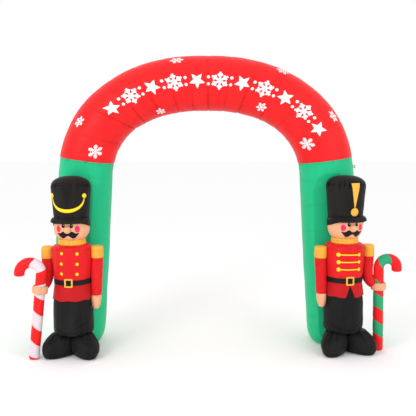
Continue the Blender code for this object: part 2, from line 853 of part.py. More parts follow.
def cane_mesh(figure):
    """The cane as a bent tube with a flat foot, made from a curve."""
    side = figure["side"]
    foot_x, y = figure["foot"]
    top_x, top_z = figure["shaft_top"]
    radius = figure["hook_r"]
    route = [(foot_x, up, share) for up, share in CANE_END]
    route.append((top_x, top_z, 1.0))
    for i in range(1, HOOK_STEPS + 1):
        angle = math.pi * i / HOOK_STEPS
        x = top_x + radius - radius * math.cos(angle)
        route.append((x, top_z + radius * math.sin(angle), 1.0))
    tip_x = route[-1][0]
    route += [(tip_x, figure["hook_end"] + up, share) for up, share in reversed(CANE_END)]
    curve = bpy.data.curves.new("cane", "CURVE")
    curve.dimensions = "3D"
    curve.bevel_depth = CANE_R
    curve.bevel_resolution = CANE_BEVEL
    curve.use_fill_caps = True
    spline = curve.splines.new("POLY")
    spline.points.add(len(route) - 1)
    for point, (x, z, share) in zip(spline.points, route):
        point.co = (side * x, y, z, 1.0)
        point.radius = share
    guide = bpy.data.objects.new("cane", curve)
    cutters.objects.link(guide)
    bpy.context.view_layer.update()
    depsgraph = bpy.context.evaluated_depsgraph_get()
    mesh = bpy.data.meshes.new_from_object(guide.evaluated_get(depsgraph))
    work = bmesh.new()
    work.from_mesh(mesh)
    bmesh.ops.remove_doubles(work, verts=work.verts, dist=WELD)
    bmesh.ops.recalc_face_normals(work, faces=work.faces)
    work.to_mesh(mesh)
    work.free()
    mesh.materials.clear()
    bpy.data.objects.remove(guide, do_unlink=True)
    return mesh


def add_fist(figure, parent, waist, name):
    """The fist closed round the cane, and the sleeve fitted to it."""
    side = figure["side"]
    foot_x, y = figure["foot"]
    top_x, top_z = figure["shaft_top"]
    z = figure["fist_z"]
    grip_x = foot_x + (top_x - foot_x) * z / top_z
    place = Vector((side * grip_x, y, z))
    fist = ball(name + "fist", FIST_HALF, place, FIST_SEGMENTS, SKIN, parent)
    sleeve = add_piece(name + "sleeve_bent", bent_sleeve(figure["bent_arm"], side), RED, waist)
    room = ball(name + "fist_room", FIST_HALF + Vector((GAP, GAP, GAP)), place, FIST_SEGMENTS,
                SKIN, parent, cutters)
    work = bmesh.new()
    reach = (CANE_R + GAP) / math.cos(math.pi / SIDES)
    bmesh.ops.create_cone(
        work, cap_ends=True, segments=SIDES, radius1=reach, radius2=reach, depth=GRIP_LENGTH)
    mesh = bpy.data.meshes.new(name + "grip")
    work.to_mesh(mesh)
    work.free()
    grip = add_piece(name + "grip", mesh, RED, parent, cutters)
    grip.location = place
    grip.rotation_euler.y = math.atan2(side * (top_x - foot_x), top_z)
    cut(fist, grip)
    cut(sleeve, grip)
    cut(sleeve, room)


def add_figure(figure):
    """All pieces of one soldier, standing round a parent on its axis."""
    side = figure["side"]
    name = "soldier_" + figure["name"] + "_"
    axis = bpy.data.objects.new(name + "axis", None)
    axis.location = (figure["x"], figure["y"], 0.0)
    parts.objects.link(axis)
    body_turn, head_turn, foot_turn = (
        side * math.radians(figure[key]) for key in ("body_turn", "head_turn", "foot_turn"))
    holders = []
    for label, turn in (("waist", body_turn), ("neck", head_turn)):
        holder = bpy.data.objects.new(name + label, None)
        holder.parent = axis
        holder.rotation_euler.z = turn
        parts.objects.link(holder)
        holders.append(holder)
    waist, neck = holders

    for label, foot_side in (("inner", -side), ("outer", side)):
        foot = boot(foot_side, foot_turn, figure["foot_shift"])
        add_piece(name + "boot_" + label, foot, BLACK, axis)
    trousers = column(TROUSERS, figure, body_turn, pressed_sides=(-side,), room=SKIRT_ROOM,
                      covered=SKIRT_COVERS)
    add_piece(name + "trousers", trousers, BLACK, waist)
    tunic = column(TUNIC, figure, body_turn, pressed_sides=(-1, 1), room=BELT_ROOM,
                   covered=BELT_COVERS)
    add_piece(name + "tunic", tunic, RED, waist)
    add_piece(name + "skirt", skirt_mesh(figure, body_turn), DARK_RED, waist)
    add_piece(name + "belt", belt_mesh(figure, body_turn), BLACK, waist)
    add_piece(name + "buckle", buckle_mesh(), GOLD, waist)
    add_piece(name + "collar", column(COLLAR, figure, body_turn), GOLD, waist)

    for label, arm_side in (("inner", -side), ("outer", side)):
        epaulette = stacked(EPAULETTE, arm_side, figure["arm_lift"][label])
        add_piece(name + "epaulette_" + label, epaulette, GOLD, waist)
    shoulder_z, *shoulder = STRAIGHT_SLEEVE[-1]
    shoulder_z += figure["arm_lift"]["inner"]
    sleeve = STRAIGHT_SLEEVE[:-1] + ((shoulder_z, *shoulder),)
    add_piece(name + "sleeve_straight", stacked(sleeve, -side), RED, waist)
    add_piece(name + "mitten", stacked(MITTEN, -side), SKIN, waist)
    add_piece(name + "cane", cane_mesh(figure), WHITE if side < 0 else GREEN, axis)
    add_fist(figure, axis, waist, name)

    head = column(HEAD, figure, head_turn, room=HAIR_ROOM)
    add_piece(name + "head", head, SKIN, neck)
    hair = add_piece(name + "hair", hair_mesh(figure, head_turn), BLACK, neck)
    moustache = add_piece(name + "moustache", moustache_mesh(), BLACK, neck)
    nose_y = -row_at(HEAD, NOSE_Z)[1]
    nose = ball(name + "nose", NOSE_HALF, (0.0, nose_y, NOSE_Z), NOSE_SEGMENTS, SKIN, neck)
    face = column(HEAD, figure, head_turn, PATCH_LIFT, room=HAIR_ROOM - PATCH_LIFT)
    face = add_piece(name + "head_room", face, SKIN, neck, cutters)
    cut(nose, face)
    cut(hair, face)
    cut(moustache, face)
    add_piece(name + "hat", column(HAT, figure, head_turn), BLACK, neck)
    add_piece(name + "visor", visor_mesh(), BLACK, neck)
    hat_room = column(HAT, figure, head_turn, BALL_SEAT)
    hat_room = add_piece(name + "hat_room", hat_room, BLACK, neck, cutters)
    if figure["hat_badge"] == "swag":
        add_piece(name + "swag", swag_mesh(), YELLOW, neck)
        for label, end in (("swag_ball_inner", -side), ("swag_ball_outer", side)):
            mesh = button(HAT, end * SWAG_HALF_SPAN, SWAG_END_Z + SWAG_BALL_R / 2,
                          SWAG_BALL_R, BALL_THICK)
            cut(add_piece(name + label, mesh, YELLOW, neck), hat_room)
    else:
        add_piece(name + "plume", plume_mesh(), GOLD, neck)
        mesh = button(HAT, 0.0, PLUME_BALL_Z, PLUME_BALL_R, BALL_THICK)
        cut(add_piece(name + "plume_ball", mesh, GOLD, neck), hat_room)


for figure in FIGURES:
    add_figure(figure)
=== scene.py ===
"""Dresses the inflatable holiday archway as it stands when full of air: a red crown tube on two
green leg tubes, with a toy soldier and a striped candy cane sewn in front of each leg.
Metres, +Z up, the front looks towards -Y."""

import math

import bpy
import numpy as np
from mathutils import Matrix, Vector


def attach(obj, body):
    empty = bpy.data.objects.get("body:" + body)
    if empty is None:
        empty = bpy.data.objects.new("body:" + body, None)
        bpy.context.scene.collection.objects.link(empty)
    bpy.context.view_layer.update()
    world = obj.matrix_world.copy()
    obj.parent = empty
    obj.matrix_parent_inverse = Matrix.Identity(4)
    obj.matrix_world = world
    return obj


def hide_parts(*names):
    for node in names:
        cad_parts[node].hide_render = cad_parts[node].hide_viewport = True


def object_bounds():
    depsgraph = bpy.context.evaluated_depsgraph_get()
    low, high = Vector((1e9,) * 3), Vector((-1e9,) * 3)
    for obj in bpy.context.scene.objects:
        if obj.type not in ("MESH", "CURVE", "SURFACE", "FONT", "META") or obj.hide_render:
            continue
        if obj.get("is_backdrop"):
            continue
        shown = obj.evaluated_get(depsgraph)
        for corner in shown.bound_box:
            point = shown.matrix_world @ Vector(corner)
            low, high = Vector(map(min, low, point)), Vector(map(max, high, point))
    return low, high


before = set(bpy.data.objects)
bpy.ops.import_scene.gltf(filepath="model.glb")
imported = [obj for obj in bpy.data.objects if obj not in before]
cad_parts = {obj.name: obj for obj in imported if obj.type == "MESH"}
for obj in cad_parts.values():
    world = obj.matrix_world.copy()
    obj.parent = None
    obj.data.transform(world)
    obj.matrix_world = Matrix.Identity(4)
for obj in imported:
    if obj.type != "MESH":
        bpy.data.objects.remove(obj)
cad_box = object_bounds()


# Red crown tube
# The real one is thirteen panels of coated polyester sewn edge to edge into one bent tube, which
# air keeps round. Every cross seam draws the tube in and puckers the cloth, most of all on the
# passage side, where there is too much of it.
GAP = 0.0003
TUBE_R = 0.2286
ARCH_X = -0.045
ARCH_Y = 0.168
ARCH_HALF_SPAN = 1.024
ARCH_RISE = 0.779
ARCH_FULLNESS = 2.297
SPRING_Z = 1.435
LEG_LEAN = 0.0611
CROWN_HALF = 1.30
CROWN_END_TILT = 4
CROWN_COLUMNS = 220
CROWN_SEED = 11
# Cross seams from the top of the arch: place, tilt in degrees, drawn in by, pucker depth
CROWN_SEAMS = (
    (-CROWN_HALF + GAP / 2, -CROWN_END_TILT, 0.003, 0.0026),
    (-1.100, -14, 0.0030, 0.0012),
    (-0.875, -19, 0.0060, 0.0026),
    (-0.675, -9, 0.0060, 0.0022),
    (-0.485, -10, 0.0055, 0.0022),
    (-0.295, -9, 0.0040, 0.0016),
    (-0.125, -3, 0.0035, 0.0014),
    (0.018, 0, 0.0065, 0.0024),
    (0.180, 4, 0.0035, 0.0014),
    (0.350, 9, 0.0055, 0.0022),
    (0.565, 6, 0.0055, 0.0022),
    (0.790, 9, 0.0035, 0.0014),
    (1.050, 10, 0.0030, 0.0012),
    (CROWN_HALF - GAP / 2, CROWN_END_TILT, 0.003, 0.0026),
)
# Slack cloth on the passage side: place, half length, depth of the furrow
CROWN_FURROWS = (
    (-1.235, 0.010, 0.0020),
    (-1.175, 0.014, 0.0016),
    (-1.020, 0.016, 0.0016),
    (-0.960, 0.012, 0.0012),
    (-0.760, 0.014, 0.0014),
    (-0.590, 0.012, 0.0014),
    (-0.390, 0.014, 0.0012),
    (0.100, 0.016, 0.0010),
    (0.270, 0.013, 0.0014),
    (0.440, 0.012, 0.0014),
    (0.660, 0.013, 0.0016),
    (0.710, 0.010, 0.0012),
    (0.900, 0.014, 0.0014),
    (1.180, 0.014, 0.0016),
    (1.240, 0.010, 0.0020),
)
RED = (0.84, 0.014, 0.016)
RED_THREAD = (0.55, 0.015, 0.015)
CROWN_ROW_STEP = 0.014
# How far a crown seam draws in the cloth beside it, and its puckers: how many, reach, width
SEAM_PULL_REACH = 0.007
CROWN_PUCKERS = 60
CROWN_PUCKER_REACH = 0.034
CROWN_PUCKER_WIDTH = 0.007
# How far round a furrow reaches, in radians
FURROW_REACH = 0.75
# Slack of the crown: length of its dents, depth
CROWN_SLACK = (0.30, 0.0011)
# Depth at which a pucker gets its full painted shade
CROWN_DARKEST = 0.013
# Stitches on either side of a seam: distance from the seam, pitch, length
STITCH_OFF_SEAM = 0.006
STITCH = (0.010, 0.006)
# Ends and middle of a stitch over the cloth
THREAD_LOW = 0.0004
THREAD_HIGH = 0.0014


def turns_round(count):
    """Even turns round a piece."""
    return 2 * math.pi * np.arange(count) / count


def off_from(turns, place):
    """Turns counted from a place, half way round to either side."""
    return (turns - place + math.pi) % (2 * math.pi) - math.pi


def hump(off, half):
    """A soft hump that is one in its middle and fades over half its width."""
    return np.exp(-(off / half) ** 2)


def seam_pull(away, depth, reach):
    """How far a seam draws in the rows beside it."""
    return depth * np.exp(-abs(away) / reach)[:, None]


def arch_line():
    """Half of the arch's centreline from its top to the ground, its slopes and lengths."""
    t = np.linspace(0, math.pi / 2, 1601)
    across = ARCH_HALF_SPAN * np.sin(t) ** (2 / ARCH_FULLNESS)
    height = SPRING_Z + ARCH_RISE * np.clip(np.cos(t), 0, 1) ** (2 / ARCH_FULLNESS)
    across, height = np.append(across, ARCH_HALF_SPAN), np.append(height, 0.0)
    across = across * (1 + LEG_LEAN * (SPRING_Z - height) / ARCH_HALF_SPAN)
    line = np.column_stack([across, height])
    lengths = np.append(0, np.cumsum(np.linalg.norm(np.diff(line, axis=0), axis=1)))
    slopes = np.gradient(line, axis=0)
    slopes[0] = (1, 0)
    return line, slopes / np.linalg.norm(slopes, axis=1)[:, None], lengths


LINE, SLOPES, LENGTHS = arch_line()


def arch_tube(places, tilts, turns, radius):
    """Points round the arch tube, turned from its outer edge towards the back."""
    side = np.where(places < 0, -1.0, 1.0)
    x, z = (np.interp(abs(places), LENGTHS, LINE[:, k]) for k in (0, 1))
    run, rise = (np.interp(abs(places), LENGTHS, SLOPES[:, k]) for k in (0, 1))
    tilt = -np.radians(tilts)
    out_x, out_z = -side * rise, run
    lean_x = out_x * np.cos(tilt) - out_z * np.sin(tilt)
    lean_z = out_x * np.sin(tilt) + out_z * np.cos(tilt)
    up = radius * np.cos(turns) / np.cos(tilt)[:, None]
    return np.stack([
        ARCH_X + (side * x)[:, None] + lean_x[:, None] * up,
        ARCH_Y + radius * np.sin(turns),
        z[:, None] + lean_z[:, None] * up,
    ], axis=-1)


def rows_by_seams(start, end, seams, step, least=0.0016):
    """Row places along a piece, evenly spaced and closer together beside each seam, though never
    closer than the least distance."""
    beside = np.array((0.0, 0.0022, 0.0045, 0.0075, 0.012, 0.018, 0.026))
    rows = [np.linspace(start, end, int((end - start) / step) + 1)]
    rows += [seam + sign * beside for seam in seams for sign in (-1, 1)]
    rows = np.unique(np.concatenate(rows))
    rows = rows[(rows >= start) & (rows <= end)]
    kept = [rows[0]]
    for row in rows[1:]:
        if row - kept[-1] > least:
            kept.append(row)
    kept[-1] = end
    return np.array(kept)


def puckers(turns, radius, away, count, depth, reach, width, chance):
    """Short creases that run out from a seam, as depths that the cloth is drawn in by."""
    total = np.zeros((len(away), len(turns)))
    for _ in range(count):
        off = off_from(turns, chance.uniform(0, 2 * math.pi))
        across = hump(off * radius, width * chance.uniform(0.7, 1.5))
        length = np.where(away < 0, chance.uniform(0.3, 1.4), chance.uniform(0.3, 1.4)) * reach
        fade = np.exp(-(abs(away) / length) ** 1.3)
        total += depth * chance.uniform(0.2, 1.0) * fade[:, None] * across
    return total


def slack(turns, along, size, depth, chance):
    """Broad uneven dents, as thin air-filled cloth has."""
    total = np.zeros((len(along), len(turns)))
    for _ in range(16):
        waves, pace, start = chance.integers(0, 6), chance.normal(0, 1 / size), chance.uniform(0, 7)
        total += np.cos(waves * turns + (2 * math.pi * pace * along + start)[:, None])
    return depth * total / 4


def put_in_scene(name, data):
    """Adds a mesh, lamp or camera to the scene."""
    thing = bpy.data.objects.new(name, data)
    bpy.context.scene.collection.objects.link(thing)
    return thing


def skin(name, grids, colour, painted_crease_shade=None, endless=False):
    """One cloth skin over rows of points, each row closed round the piece. It is capped at both
    ends unless the rows close up too, carries cloth grain in metres and says how deep it creases,
    as a mask for painted shade."""
    grids = grids if isinstance(grids, list) else [grids]
    points, faces, grain = [], [], []
    count = 0
    for grid in grids:
        rows, cols = grid.shape[:2]
        girth = np.linalg.norm(np.roll(grid, -1, axis=1) - grid, axis=2).sum(axis=1).mean() / cols
        steps = np.linalg.norm(np.diff(grid, axis=0), axis=2).mean(axis=1)
        along = np.append(0, np.cumsum(steps))
        along = np.append(along, along[-1] + steps.mean())
        row, col = np.mgrid[0:rows if endless else rows - 1, 0:cols]
        row, col = row.ravel(), col.ravel()
        beside, above = (col + 1) % cols, (row + 1) % rows
        quads = np.stack([row * cols + col, row * cols + beside,
                          above * cols + beside, above * cols + col], axis=-1)
        u = np.stack([col, col + 1, col + 1, col], axis=-1) * girth
        v = np.stack([along[row], along[row], along[row + 1], along[row + 1]], axis=-1)
        corner = grid.reshape(-1, 3)[quads]
        inside = corner - grid.reshape(-1, 3).mean(axis=0)
        volume = np.einsum("ij,ij->", inside[:, 0], np.cross(inside[:, 1], inside[:, 2]))
        volume += np.einsum("ij,ij->", inside[:, 0], np.cross(inside[:, 2], inside[:, 3]))
        order = slice(None) if volume > 0 else slice(None, None, -1)
        points.append(grid.reshape(-1, 3))
        faces += (quads[:, order] + count).tolist()
        grain.append(np.stack([u[:, order], v[:, order]], axis=-1).reshape(-1, 2))
        if not endless:
            ring = np.arange(cols)
            after = (ring + 1) % cols
            for end, pair in ((0, (after, ring)), (rows - 1, (ring, after))):
                hub = np.full(cols, rows * cols + (end > 0))
                fan = np.stack([end * cols + pair[0], end * cols + pair[1], hub], axis=-1)
                faces += (fan[:, order] + count).tolist()
                grain.append(np.zeros((3 * cols, 2)))
                points.append(grid[end].mean(axis=0)[None])
            count += 2
        count += rows * cols
    mesh = bpy.data.meshes.new(name)
    points = np.vstack(points)
    mesh.from_pydata(points.tolist(), [], faces)
    mesh.uv_layers.new(name="grain").data.foreach_set("uv", np.vstack(grain).ravel())
    # Painted shade mask: how deep each point is drawn in, which darkens the cloth's colour there
    depth = np.zeros(len(points))
    if painted_crease_shade is not None:
        depth[:painted_crease_shade.size] = np.clip(painted_crease_shade.ravel(), 0, 1)
    mesh.attributes.new("painted_crease_shade", "FLOAT", "POINT").data.foreach_set("value", depth)
    mesh.shade_smooth()
    mesh.set_sharp_from_angle(angle=math.radians(55))
    mesh.materials.append(colour)
    return put_in_scene(name, mesh)


# Upright bands of painted sheen and shade in the cloth's colour: how close they lie across and up
# the piece, and detail
SHEEN_BAND_STRETCH = (2.6, 2.6, 0.45)
BAND_SCALE, BAND_DETAIL = 4.5, 2.0
# Colour of the painted shade in the bottom of a pucker, as a share of the cloth's colour
PUCKER_SHADE_TONE = 0.12
# Yarns of the weave and crinkles of the coating: scale, height
YARNS, YARN_HEIGHT = 210, 0.00025
CRINKLES, CRINKLE_DETAIL, CRINKLE_HEIGHT, CRINKLE_STRENGTH = 55, 5, 0.0016, 0.35


def polyester(name, colour, roughness=0.40, uneven=0.16, crease_shade_strength=0.42, weave=0.4, shine=0.12):
    """Coated polyester taffeta: a fine square weave under a soft gloss. Its colour carries painted
    sheen and shade in paler and darker upright bands, and painted shade where it puckers."""
    cloth = bpy.data.materials.new(name)
    cloth.use_nodes = True
    nodes, link = cloth.node_tree.nodes, cloth.node_tree.links.new

    def node(kind, inputs, **settings):
        made = nodes.new("ShaderNode" + kind)
        for setting, value in settings.items():
            setattr(made, setting, value)
        for socket, value in inputs.items():
            if isinstance(value, bpy.types.NodeSocket):
                link(value, made.inputs[socket])
            else:
                made.inputs[socket].default_value = value
        return made

    darker = (*[c * (1 - uneven) for c in colour], 1)
    paler = (*[min(c * (1 + uneven) + 0.004, 1) for c in colour], 1)
    pucker_shade_colour = (*[c * PUCKER_SHADE_TONE for c in colour], 1)
    place = node("TexCoord", {})
    # Painted sheen and shade: upright bands of noise make the colour paler and darker, standing in
    # for soft highlights and shade on the folds
    upright = node("Mapping", {"Vector": place.outputs["Object"], "Scale": SHEEN_BAND_STRETCH})
    bands = node("TexNoise", {"Vector": upright.outputs["Vector"],
                              "Scale": BAND_SCALE, "Detail": BAND_DETAIL}).outputs["Fac"]
    tone = node("Mix", {"Factor": bands, "A": darker, "B": paler}, data_type="RGBA")
    # Painted shade: where the piece is drawn in by puckers and seams, its colour is mixed towards a
    # darker share of itself
    crease_shade_amount = node("Attribute", {}, attribute_name="painted_crease_shade")
    shade = node("Math", {0: crease_shade_amount.outputs["Fac"], 1: crease_shade_strength}, operation="MULTIPLY")
    sheen_and_shade_colour = node("Mix", {"Factor": shade.outputs["Value"], "A": tone.outputs["Result"],
                        "B": pucker_shade_colour}, data_type="RGBA")
    gloss = node("MapRange", {"Value": bands, "To Min": roughness - 0.06,
                              "To Max": roughness + 0.08})
    warp, weft = (node("TexWave", {"Vector": place.outputs["UV"], "Scale": YARNS},
                       bands_direction=way).outputs["Fac"] for way in "XY")
    yarns = node("Math", {0: warp, 1: weft}, operation="MULTIPLY")
    crinkle = node("TexNoise", {"Vector": place.outputs["Object"],
                                "Scale": CRINKLES, "Detail": CRINKLE_DETAIL})
    woven = node("Bump", {"Height": yarns.outputs["Value"], "Strength": weave,
                          "Distance": YARN_HEIGHT})
    coated = node("Bump", {"Height": crinkle.outputs["Fac"], "Normal": woven.outputs["Normal"],
                           "Strength": CRINKLE_STRENGTH, "Distance": CRINKLE_HEIGHT})
    shader = nodes["Principled BSDF"].inputs
    shader["Sheen Weight"].default_value = 0.02
    shader["Sheen Roughness"].default_value = 0.45
    shader["Specular IOR Level"].default_value = shine
    link(sheen_and_shade_colour.outputs["Result"], shader["Base Color"])
    link(gloss.outputs["Result"], shader["Roughness"])
    link(coated.outputs["Normal"], shader["Normal"])
    return cloth


def dress(piece, nodes):
    """Puts a finished piece in the place of its nodes, on the arch's one body."""
    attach(piece, "root")
    if nodes:
        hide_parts(*nodes)
    return piece


def spot_finder(grid, row_values, turns, reach):
    """Gives a function that finds points on a finished skin: by row value, by metres round it
    from where the turns start, and by clearance."""
    closed = np.concatenate([grid[:, -1:], grid, grid[:, :2]], axis=1)
    facing = np.cross(np.gradient(closed, axis=1), np.gradient(closed, axis=0))
    facing /= np.maximum(np.linalg.norm(facing, axis=2), 1e-9)[..., None]
    if np.sum(facing * (closed - closed.mean(axis=1)[:, None])) < 0:
        facing = -facing
    step = turns[1] - turns[0]
    order = np.argsort(row_values)
    reach = np.broadcast_to(reach, row_values.shape)

    def find(value, along, lift):
        value, along, lift = np.broadcast_arrays(
            *(np.asarray(v, float) for v in (value, along, lift)))
        row = np.interp(value, row_values[order], order.astype(float))
        radius = np.interp(value, row_values[order], reach[order])
        col = (along / radius - turns[0]) / step % len(turns) + 1
        i, j = np.clip(row.astype(int), 0, len(grid) - 2), col.astype(int)
        a, b = (row - i)[..., None], (col - j)[..., None]
        spot, normal = (
            (1 - a) * ((1 - b) * field[i, j] + b * field[i, j + 1])
            + a * ((1 - b) * field[i + 1, j] + b * field[i + 1, j + 1])
            for field in (closed, facing))
        return spot + normal * lift[..., None]

    return find


def thread_row(find, values, alongs, pitch, length):
    """Stitches along a line on a skin, as start, end and outer point of each."""
    spots = find(values, alongs, THREAD_LOW)
    run = np.append(0, np.cumsum(np.linalg.norm(np.diff(spots, axis=0), axis=1)))
    starts = (np.arange(int(run[-1] / pitch)) + 0.2) * pitch

    def at(places, lift):
        return find(np.interp(places, run, values), np.interp(places, run, alongs), lift)

    low = at(starts, THREAD_LOW)
    outer = at(starts + length / 2, THREAD_LOW) + at(starts, THREAD_HIGH) - low
    return np.stack([low, at(starts + length, THREAD_LOW), outer], axis=1)


def stitching(name, rows, colour, thick=0.0008):
    """All the stitches of a piece, each a short thread that tapers into the cloth."""
    rows = np.concatenate(rows)
    start, end, top = rows[:, 0], rows[:, 1], rows[:, 2]
    middle = (start + end) / 2
    side = np.cross(end - start, top - middle)
    side *= thick / np.maximum(np.linalg.norm(side, axis=1), 1e-9)[:, None]
    low = 2 * middle - top
    points = np.stack([start, end, top, middle + side, low, middle - side], axis=1).reshape(-1, 3)
    shape = np.array(((0, 2, 3), (0, 3, 4), (0, 4, 5), (0, 5, 2),
                      (1, 3, 2), (1, 4, 3), (1, 5, 4), (1, 2, 5)))
    faces = (np.arange(len(rows))[:, None, None] * 6 + shape).reshape(-1, 3)
    mesh = bpy.data.meshes.new(name)
    mesh.from_pydata(points.tolist(), [], faces.tolist())
    mesh.materials.append(colour)
    return dress(put_in_scene(name, mesh), ())


red_polyester = polyester("red_polyester", RED)
red_thread = polyester("red_thread", RED_THREAD, roughness=0.55, crease_shade_strength=0.0)
seam_places = np.array([row[0] for row in CROWN_SEAMS])
seam_tilts = np.array([row[1] for row in CROWN_SEAMS])
crown_rows = rows_by_seams(seam_places[0], seam_places[-1], seam_places, CROWN_ROW_STEP)
crown_turns = turns_round(CROWN_COLUMNS)
passage_side = 0.5 - 0.5 * np.cos(crown_turns)
pull_share, pucker_share = 0.5 + 0.6 * passage_side, 0.25 + 1.2 * passage_side
chance = np.random.default_rng(CROWN_SEED)
crown_drawn = np.zeros((len(crown_rows), CROWN_COLUMNS))
for place, _, pull, depth in CROWN_SEAMS:
    away = crown_rows - place
    crown_drawn += seam_pull(away, pull, SEAM_PULL_REACH) * pull_share
    crown_drawn += pucker_share * puckers(crown_turns, TUBE_R, away, CROWN_PUCKERS, depth,
                                          CROWN_PUCKER_REACH, CROWN_PUCKER_WIDTH, chance)
for place, half, depth in CROWN_FURROWS:
    middle = math.pi * chance.uniform(0.93, 1.07)
    crown_drawn += depth * hump(crown_rows - place, half)[:, None] * hump(
        crown_turns - middle, FURROW_REACH)
crown_dents = slack(crown_turns, crown_rows, *CROWN_SLACK, chance)
crown_grid = arch_tube(
    crown_rows, np.interp(crown_rows, seam_places, seam_tilts), crown_turns,
    TUBE_R - crown_drawn - crown_dents)
crown = skin("crown_cloth", crown_grid, red_polyester, crown_drawn / CROWN_DARKEST)
dress(crown, ["arch_crown"])
on_crown = spot_finder(crown_grid, crown_rows, crown_turns, TUBE_R)
ring = np.linspace(0, 2 * math.pi * TUBE_R, 400)
crown_stitches = [thread_row(on_crown, ring * 0 + place + side, ring, *STITCH)
                  for place in seam_places[1:-1] for side in (-STITCH_OFF_SEAM, STITCH_OFF_SEAM)]
stitching("crown_stitches", crown_stitches, red_thread)


# White snow prints on the crown
# The real ones are white ink, screen printed on the panels before they are sewn. A band of stars
# and bold flakes runs along the front of the crown, with smaller flakes scattered round it.
INK_LIFT = 0.0008
# Scattered flakes: place along the crown, degrees round from its outer edge, radius, turn
SMALL_FLAKES = (
    (-1.004, 311, 0.044, 10),
    (-0.202, 327, 0.046, 0),
    (-0.472, 213, 0.046, 25),
    (0.524, 234, 0.046, 15),
    (0.540, 335, 0.046, 5),
    (0.988, 322, 0.044, 20),
)
LARGE_FLAKES = (
    (-1.206, 250, 0.062, 15),
    (1.112, 237, 0.066, 0),
)
BAND_START = -0.80
BAND_STEP = 0.182
BAND_COUNT = 11
BAND_TURN = 273
BAND_FLAKE_R = 0.072
BAND_STAR_R = 0.066
BAND_STAR_INNER = 0.45
BAND_DOT_R = 0.0125
BAND_DOT_SPREAD = 0.028
WHITE_INK = (0.93, 0.90, 0.91)
INK_THICK = 0.0006
STROKE = 0.0065
BAND_STROKE = 0.017
# Side branches of a flake's arm: share of the arm at which they leave it, their length
BRANCH_SPREAD = 52
SMALL_BRANCHES = ((0.42, 0.34), (0.70, 0.26))
LARGE_BRANCHES = ((0.24, 0.20), (0.42, 0.30), (0.60, 0.30), (0.78, 0.20))
BAND_BRANCHES = ((0.52, 0.34),)


def ribbon(find, middle, halves, lift, thick, lanes=2):
    """Points of a flat band on a skin, along a line of (row value, metres round) places."""
    middle, halves = np.asarray(middle, float), np.asarray(halves, float)
    along = np.gradient(middle, axis=0)
    along /= np.maximum(np.linalg.norm(along, axis=1), 1e-9)[:, None]
    across = np.column_stack([-along[:, 1], along[:, 0]])
    shares = np.linspace(-1, 1, lanes + 1)
    spots = middle[:, None] + across[:, None] * (halves[:, None] * shares)[..., None]
    crown_of = np.sqrt(np.clip(1.05 - shares ** 2, 0.05, 1))
    top = find(spots[..., 0], spots[..., 1], lift + thick * crown_of)
    low = find(spots[..., 0], spots[..., 1], lift - 0.5 * abs(lift))
    return np.concatenate([low, top[:, ::-1]], axis=1)


def disc(find, value, along, half_up, half_round, lift, thick, outline=None, turn=0.0, sides=28):
    """Points of a round or star-shaped patch on a skin, from its rim to near its middle."""
    angle = turns_round(sides)
    outline = np.ones(sides) if outline is None else outline
    rings = []
    for share, height in ((0.98, -0.4), (1.0, 0.35), (0.88, 0.8), (0.6, 0.95), (0.25, 1.0)):
        up = share * half_up * outline * np.cos(angle + turn)
        over = share * half_round * outline * np.sin(angle + turn)
        rings.append(find(value + up, along + over, lift + thick * height))
    return np.array(rings)


def flake(place, degrees, radius, turn, stroke, branches):
    """A six-armed snowflake: its arms, side branches and middle, as patches of ink."""
    along = math.radians(degrees) * TUBE_R
    patches = []
    for arm in range(6):
        lean = math.radians(turn + 60 * arm)
        way = np.array((math.cos(lean), math.sin(lean)))
        strokes = [(1.0, 0, 0.0)]
        strokes += [(length, sign * BRANCH_SPREAD, at) for at, length in branches
                    for sign in (-1, 1)]
        for length, swing, root in strokes:
            swing = math.radians(swing)
            heading = np.array((way[0] * math.cos(swing) - way[1] * math.sin(swing),
                                way[0] * math.sin(swing) + way[1] * math.cos(swing)))
            steps = np.linspace(0, length * radius, 7)[:, None]
            line = (place, along) + way * root * radius + heading * steps
            patches.append(ribbon(on_crown, line, np.full(7, stroke / 2), INK_LIFT, 0.0005))
    patches.append(disc(on_crown, place, along, stroke, stroke, INK_LIFT, INK_THICK, sides=12))
    return patches


white_ink = polyester("white_ink", WHITE_INK, roughness=0.55, uneven=0.03, weave=0.5)
prints = []
for flakes, branches in ((SMALL_FLAKES, SMALL_BRANCHES), (LARGE_FLAKES, LARGE_BRANCHES)):
    for place, degrees, radius, turn in flakes:
        prints += flake(place, degrees, radius, turn, STROKE, branches)
fold = abs((np.arange(40) / 4) % 2 - 1)
star = BAND_STAR_INNER / (BAND_STAR_INNER + (1 - BAND_STAR_INNER) * (1 - fold))
along = math.radians(BAND_TURN) * TUBE_R
for i in range(BAND_COUNT):
    place = BAND_START + BAND_STEP * i
    if i % 2:
        prints += flake(place, BAND_TURN, BAND_FLAKE_R, 30, BAND_STROKE, BAND_BRANCHES)
    else:
        prints.append(disc(on_crown, place, along, BAND_STAR_R, BAND_STAR_R, INK_LIFT, INK_THICK,
                           outline=star, turn=math.radians(-90), sides=40))
    if i < BAND_COUNT - 1:
        for lift in (-BAND_DOT_SPREAD, BAND_DOT_SPREAD):
            prints.append(disc(on_crown, place + BAND_STEP / 2, along + lift, BAND_DOT_R,
                               BAND_DOT_R, INK_LIFT, INK_THICK, sides=14))
dress(skin("crown_prints", prints, white_ink), ())


# Green leg tubes
# Each is one long sleeve of green polyester sewn to the crown, with a round floor panel. It leans
# out a little, and its front is pressed flat where the soldier is sewn to it.
GREEN = (0.014, 0.50, 0.225)
GREEN_THREAD = (0.01, 0.30, 0.14)
LEG_COLUMNS = 168
LEG_TOP = 1.475
# The flat that the soldier is sewn to, by side of the arch: height, depth
LEG_PRESS = {
    -1: ((1.30, -0.039), (1.40, -0.039), (1.475, -0.046)),
    1: ((1.30, -0.002), (1.40, -0.021), (1.475, -0.052)),
}
FLOOR_SEAM_Z = 0.034
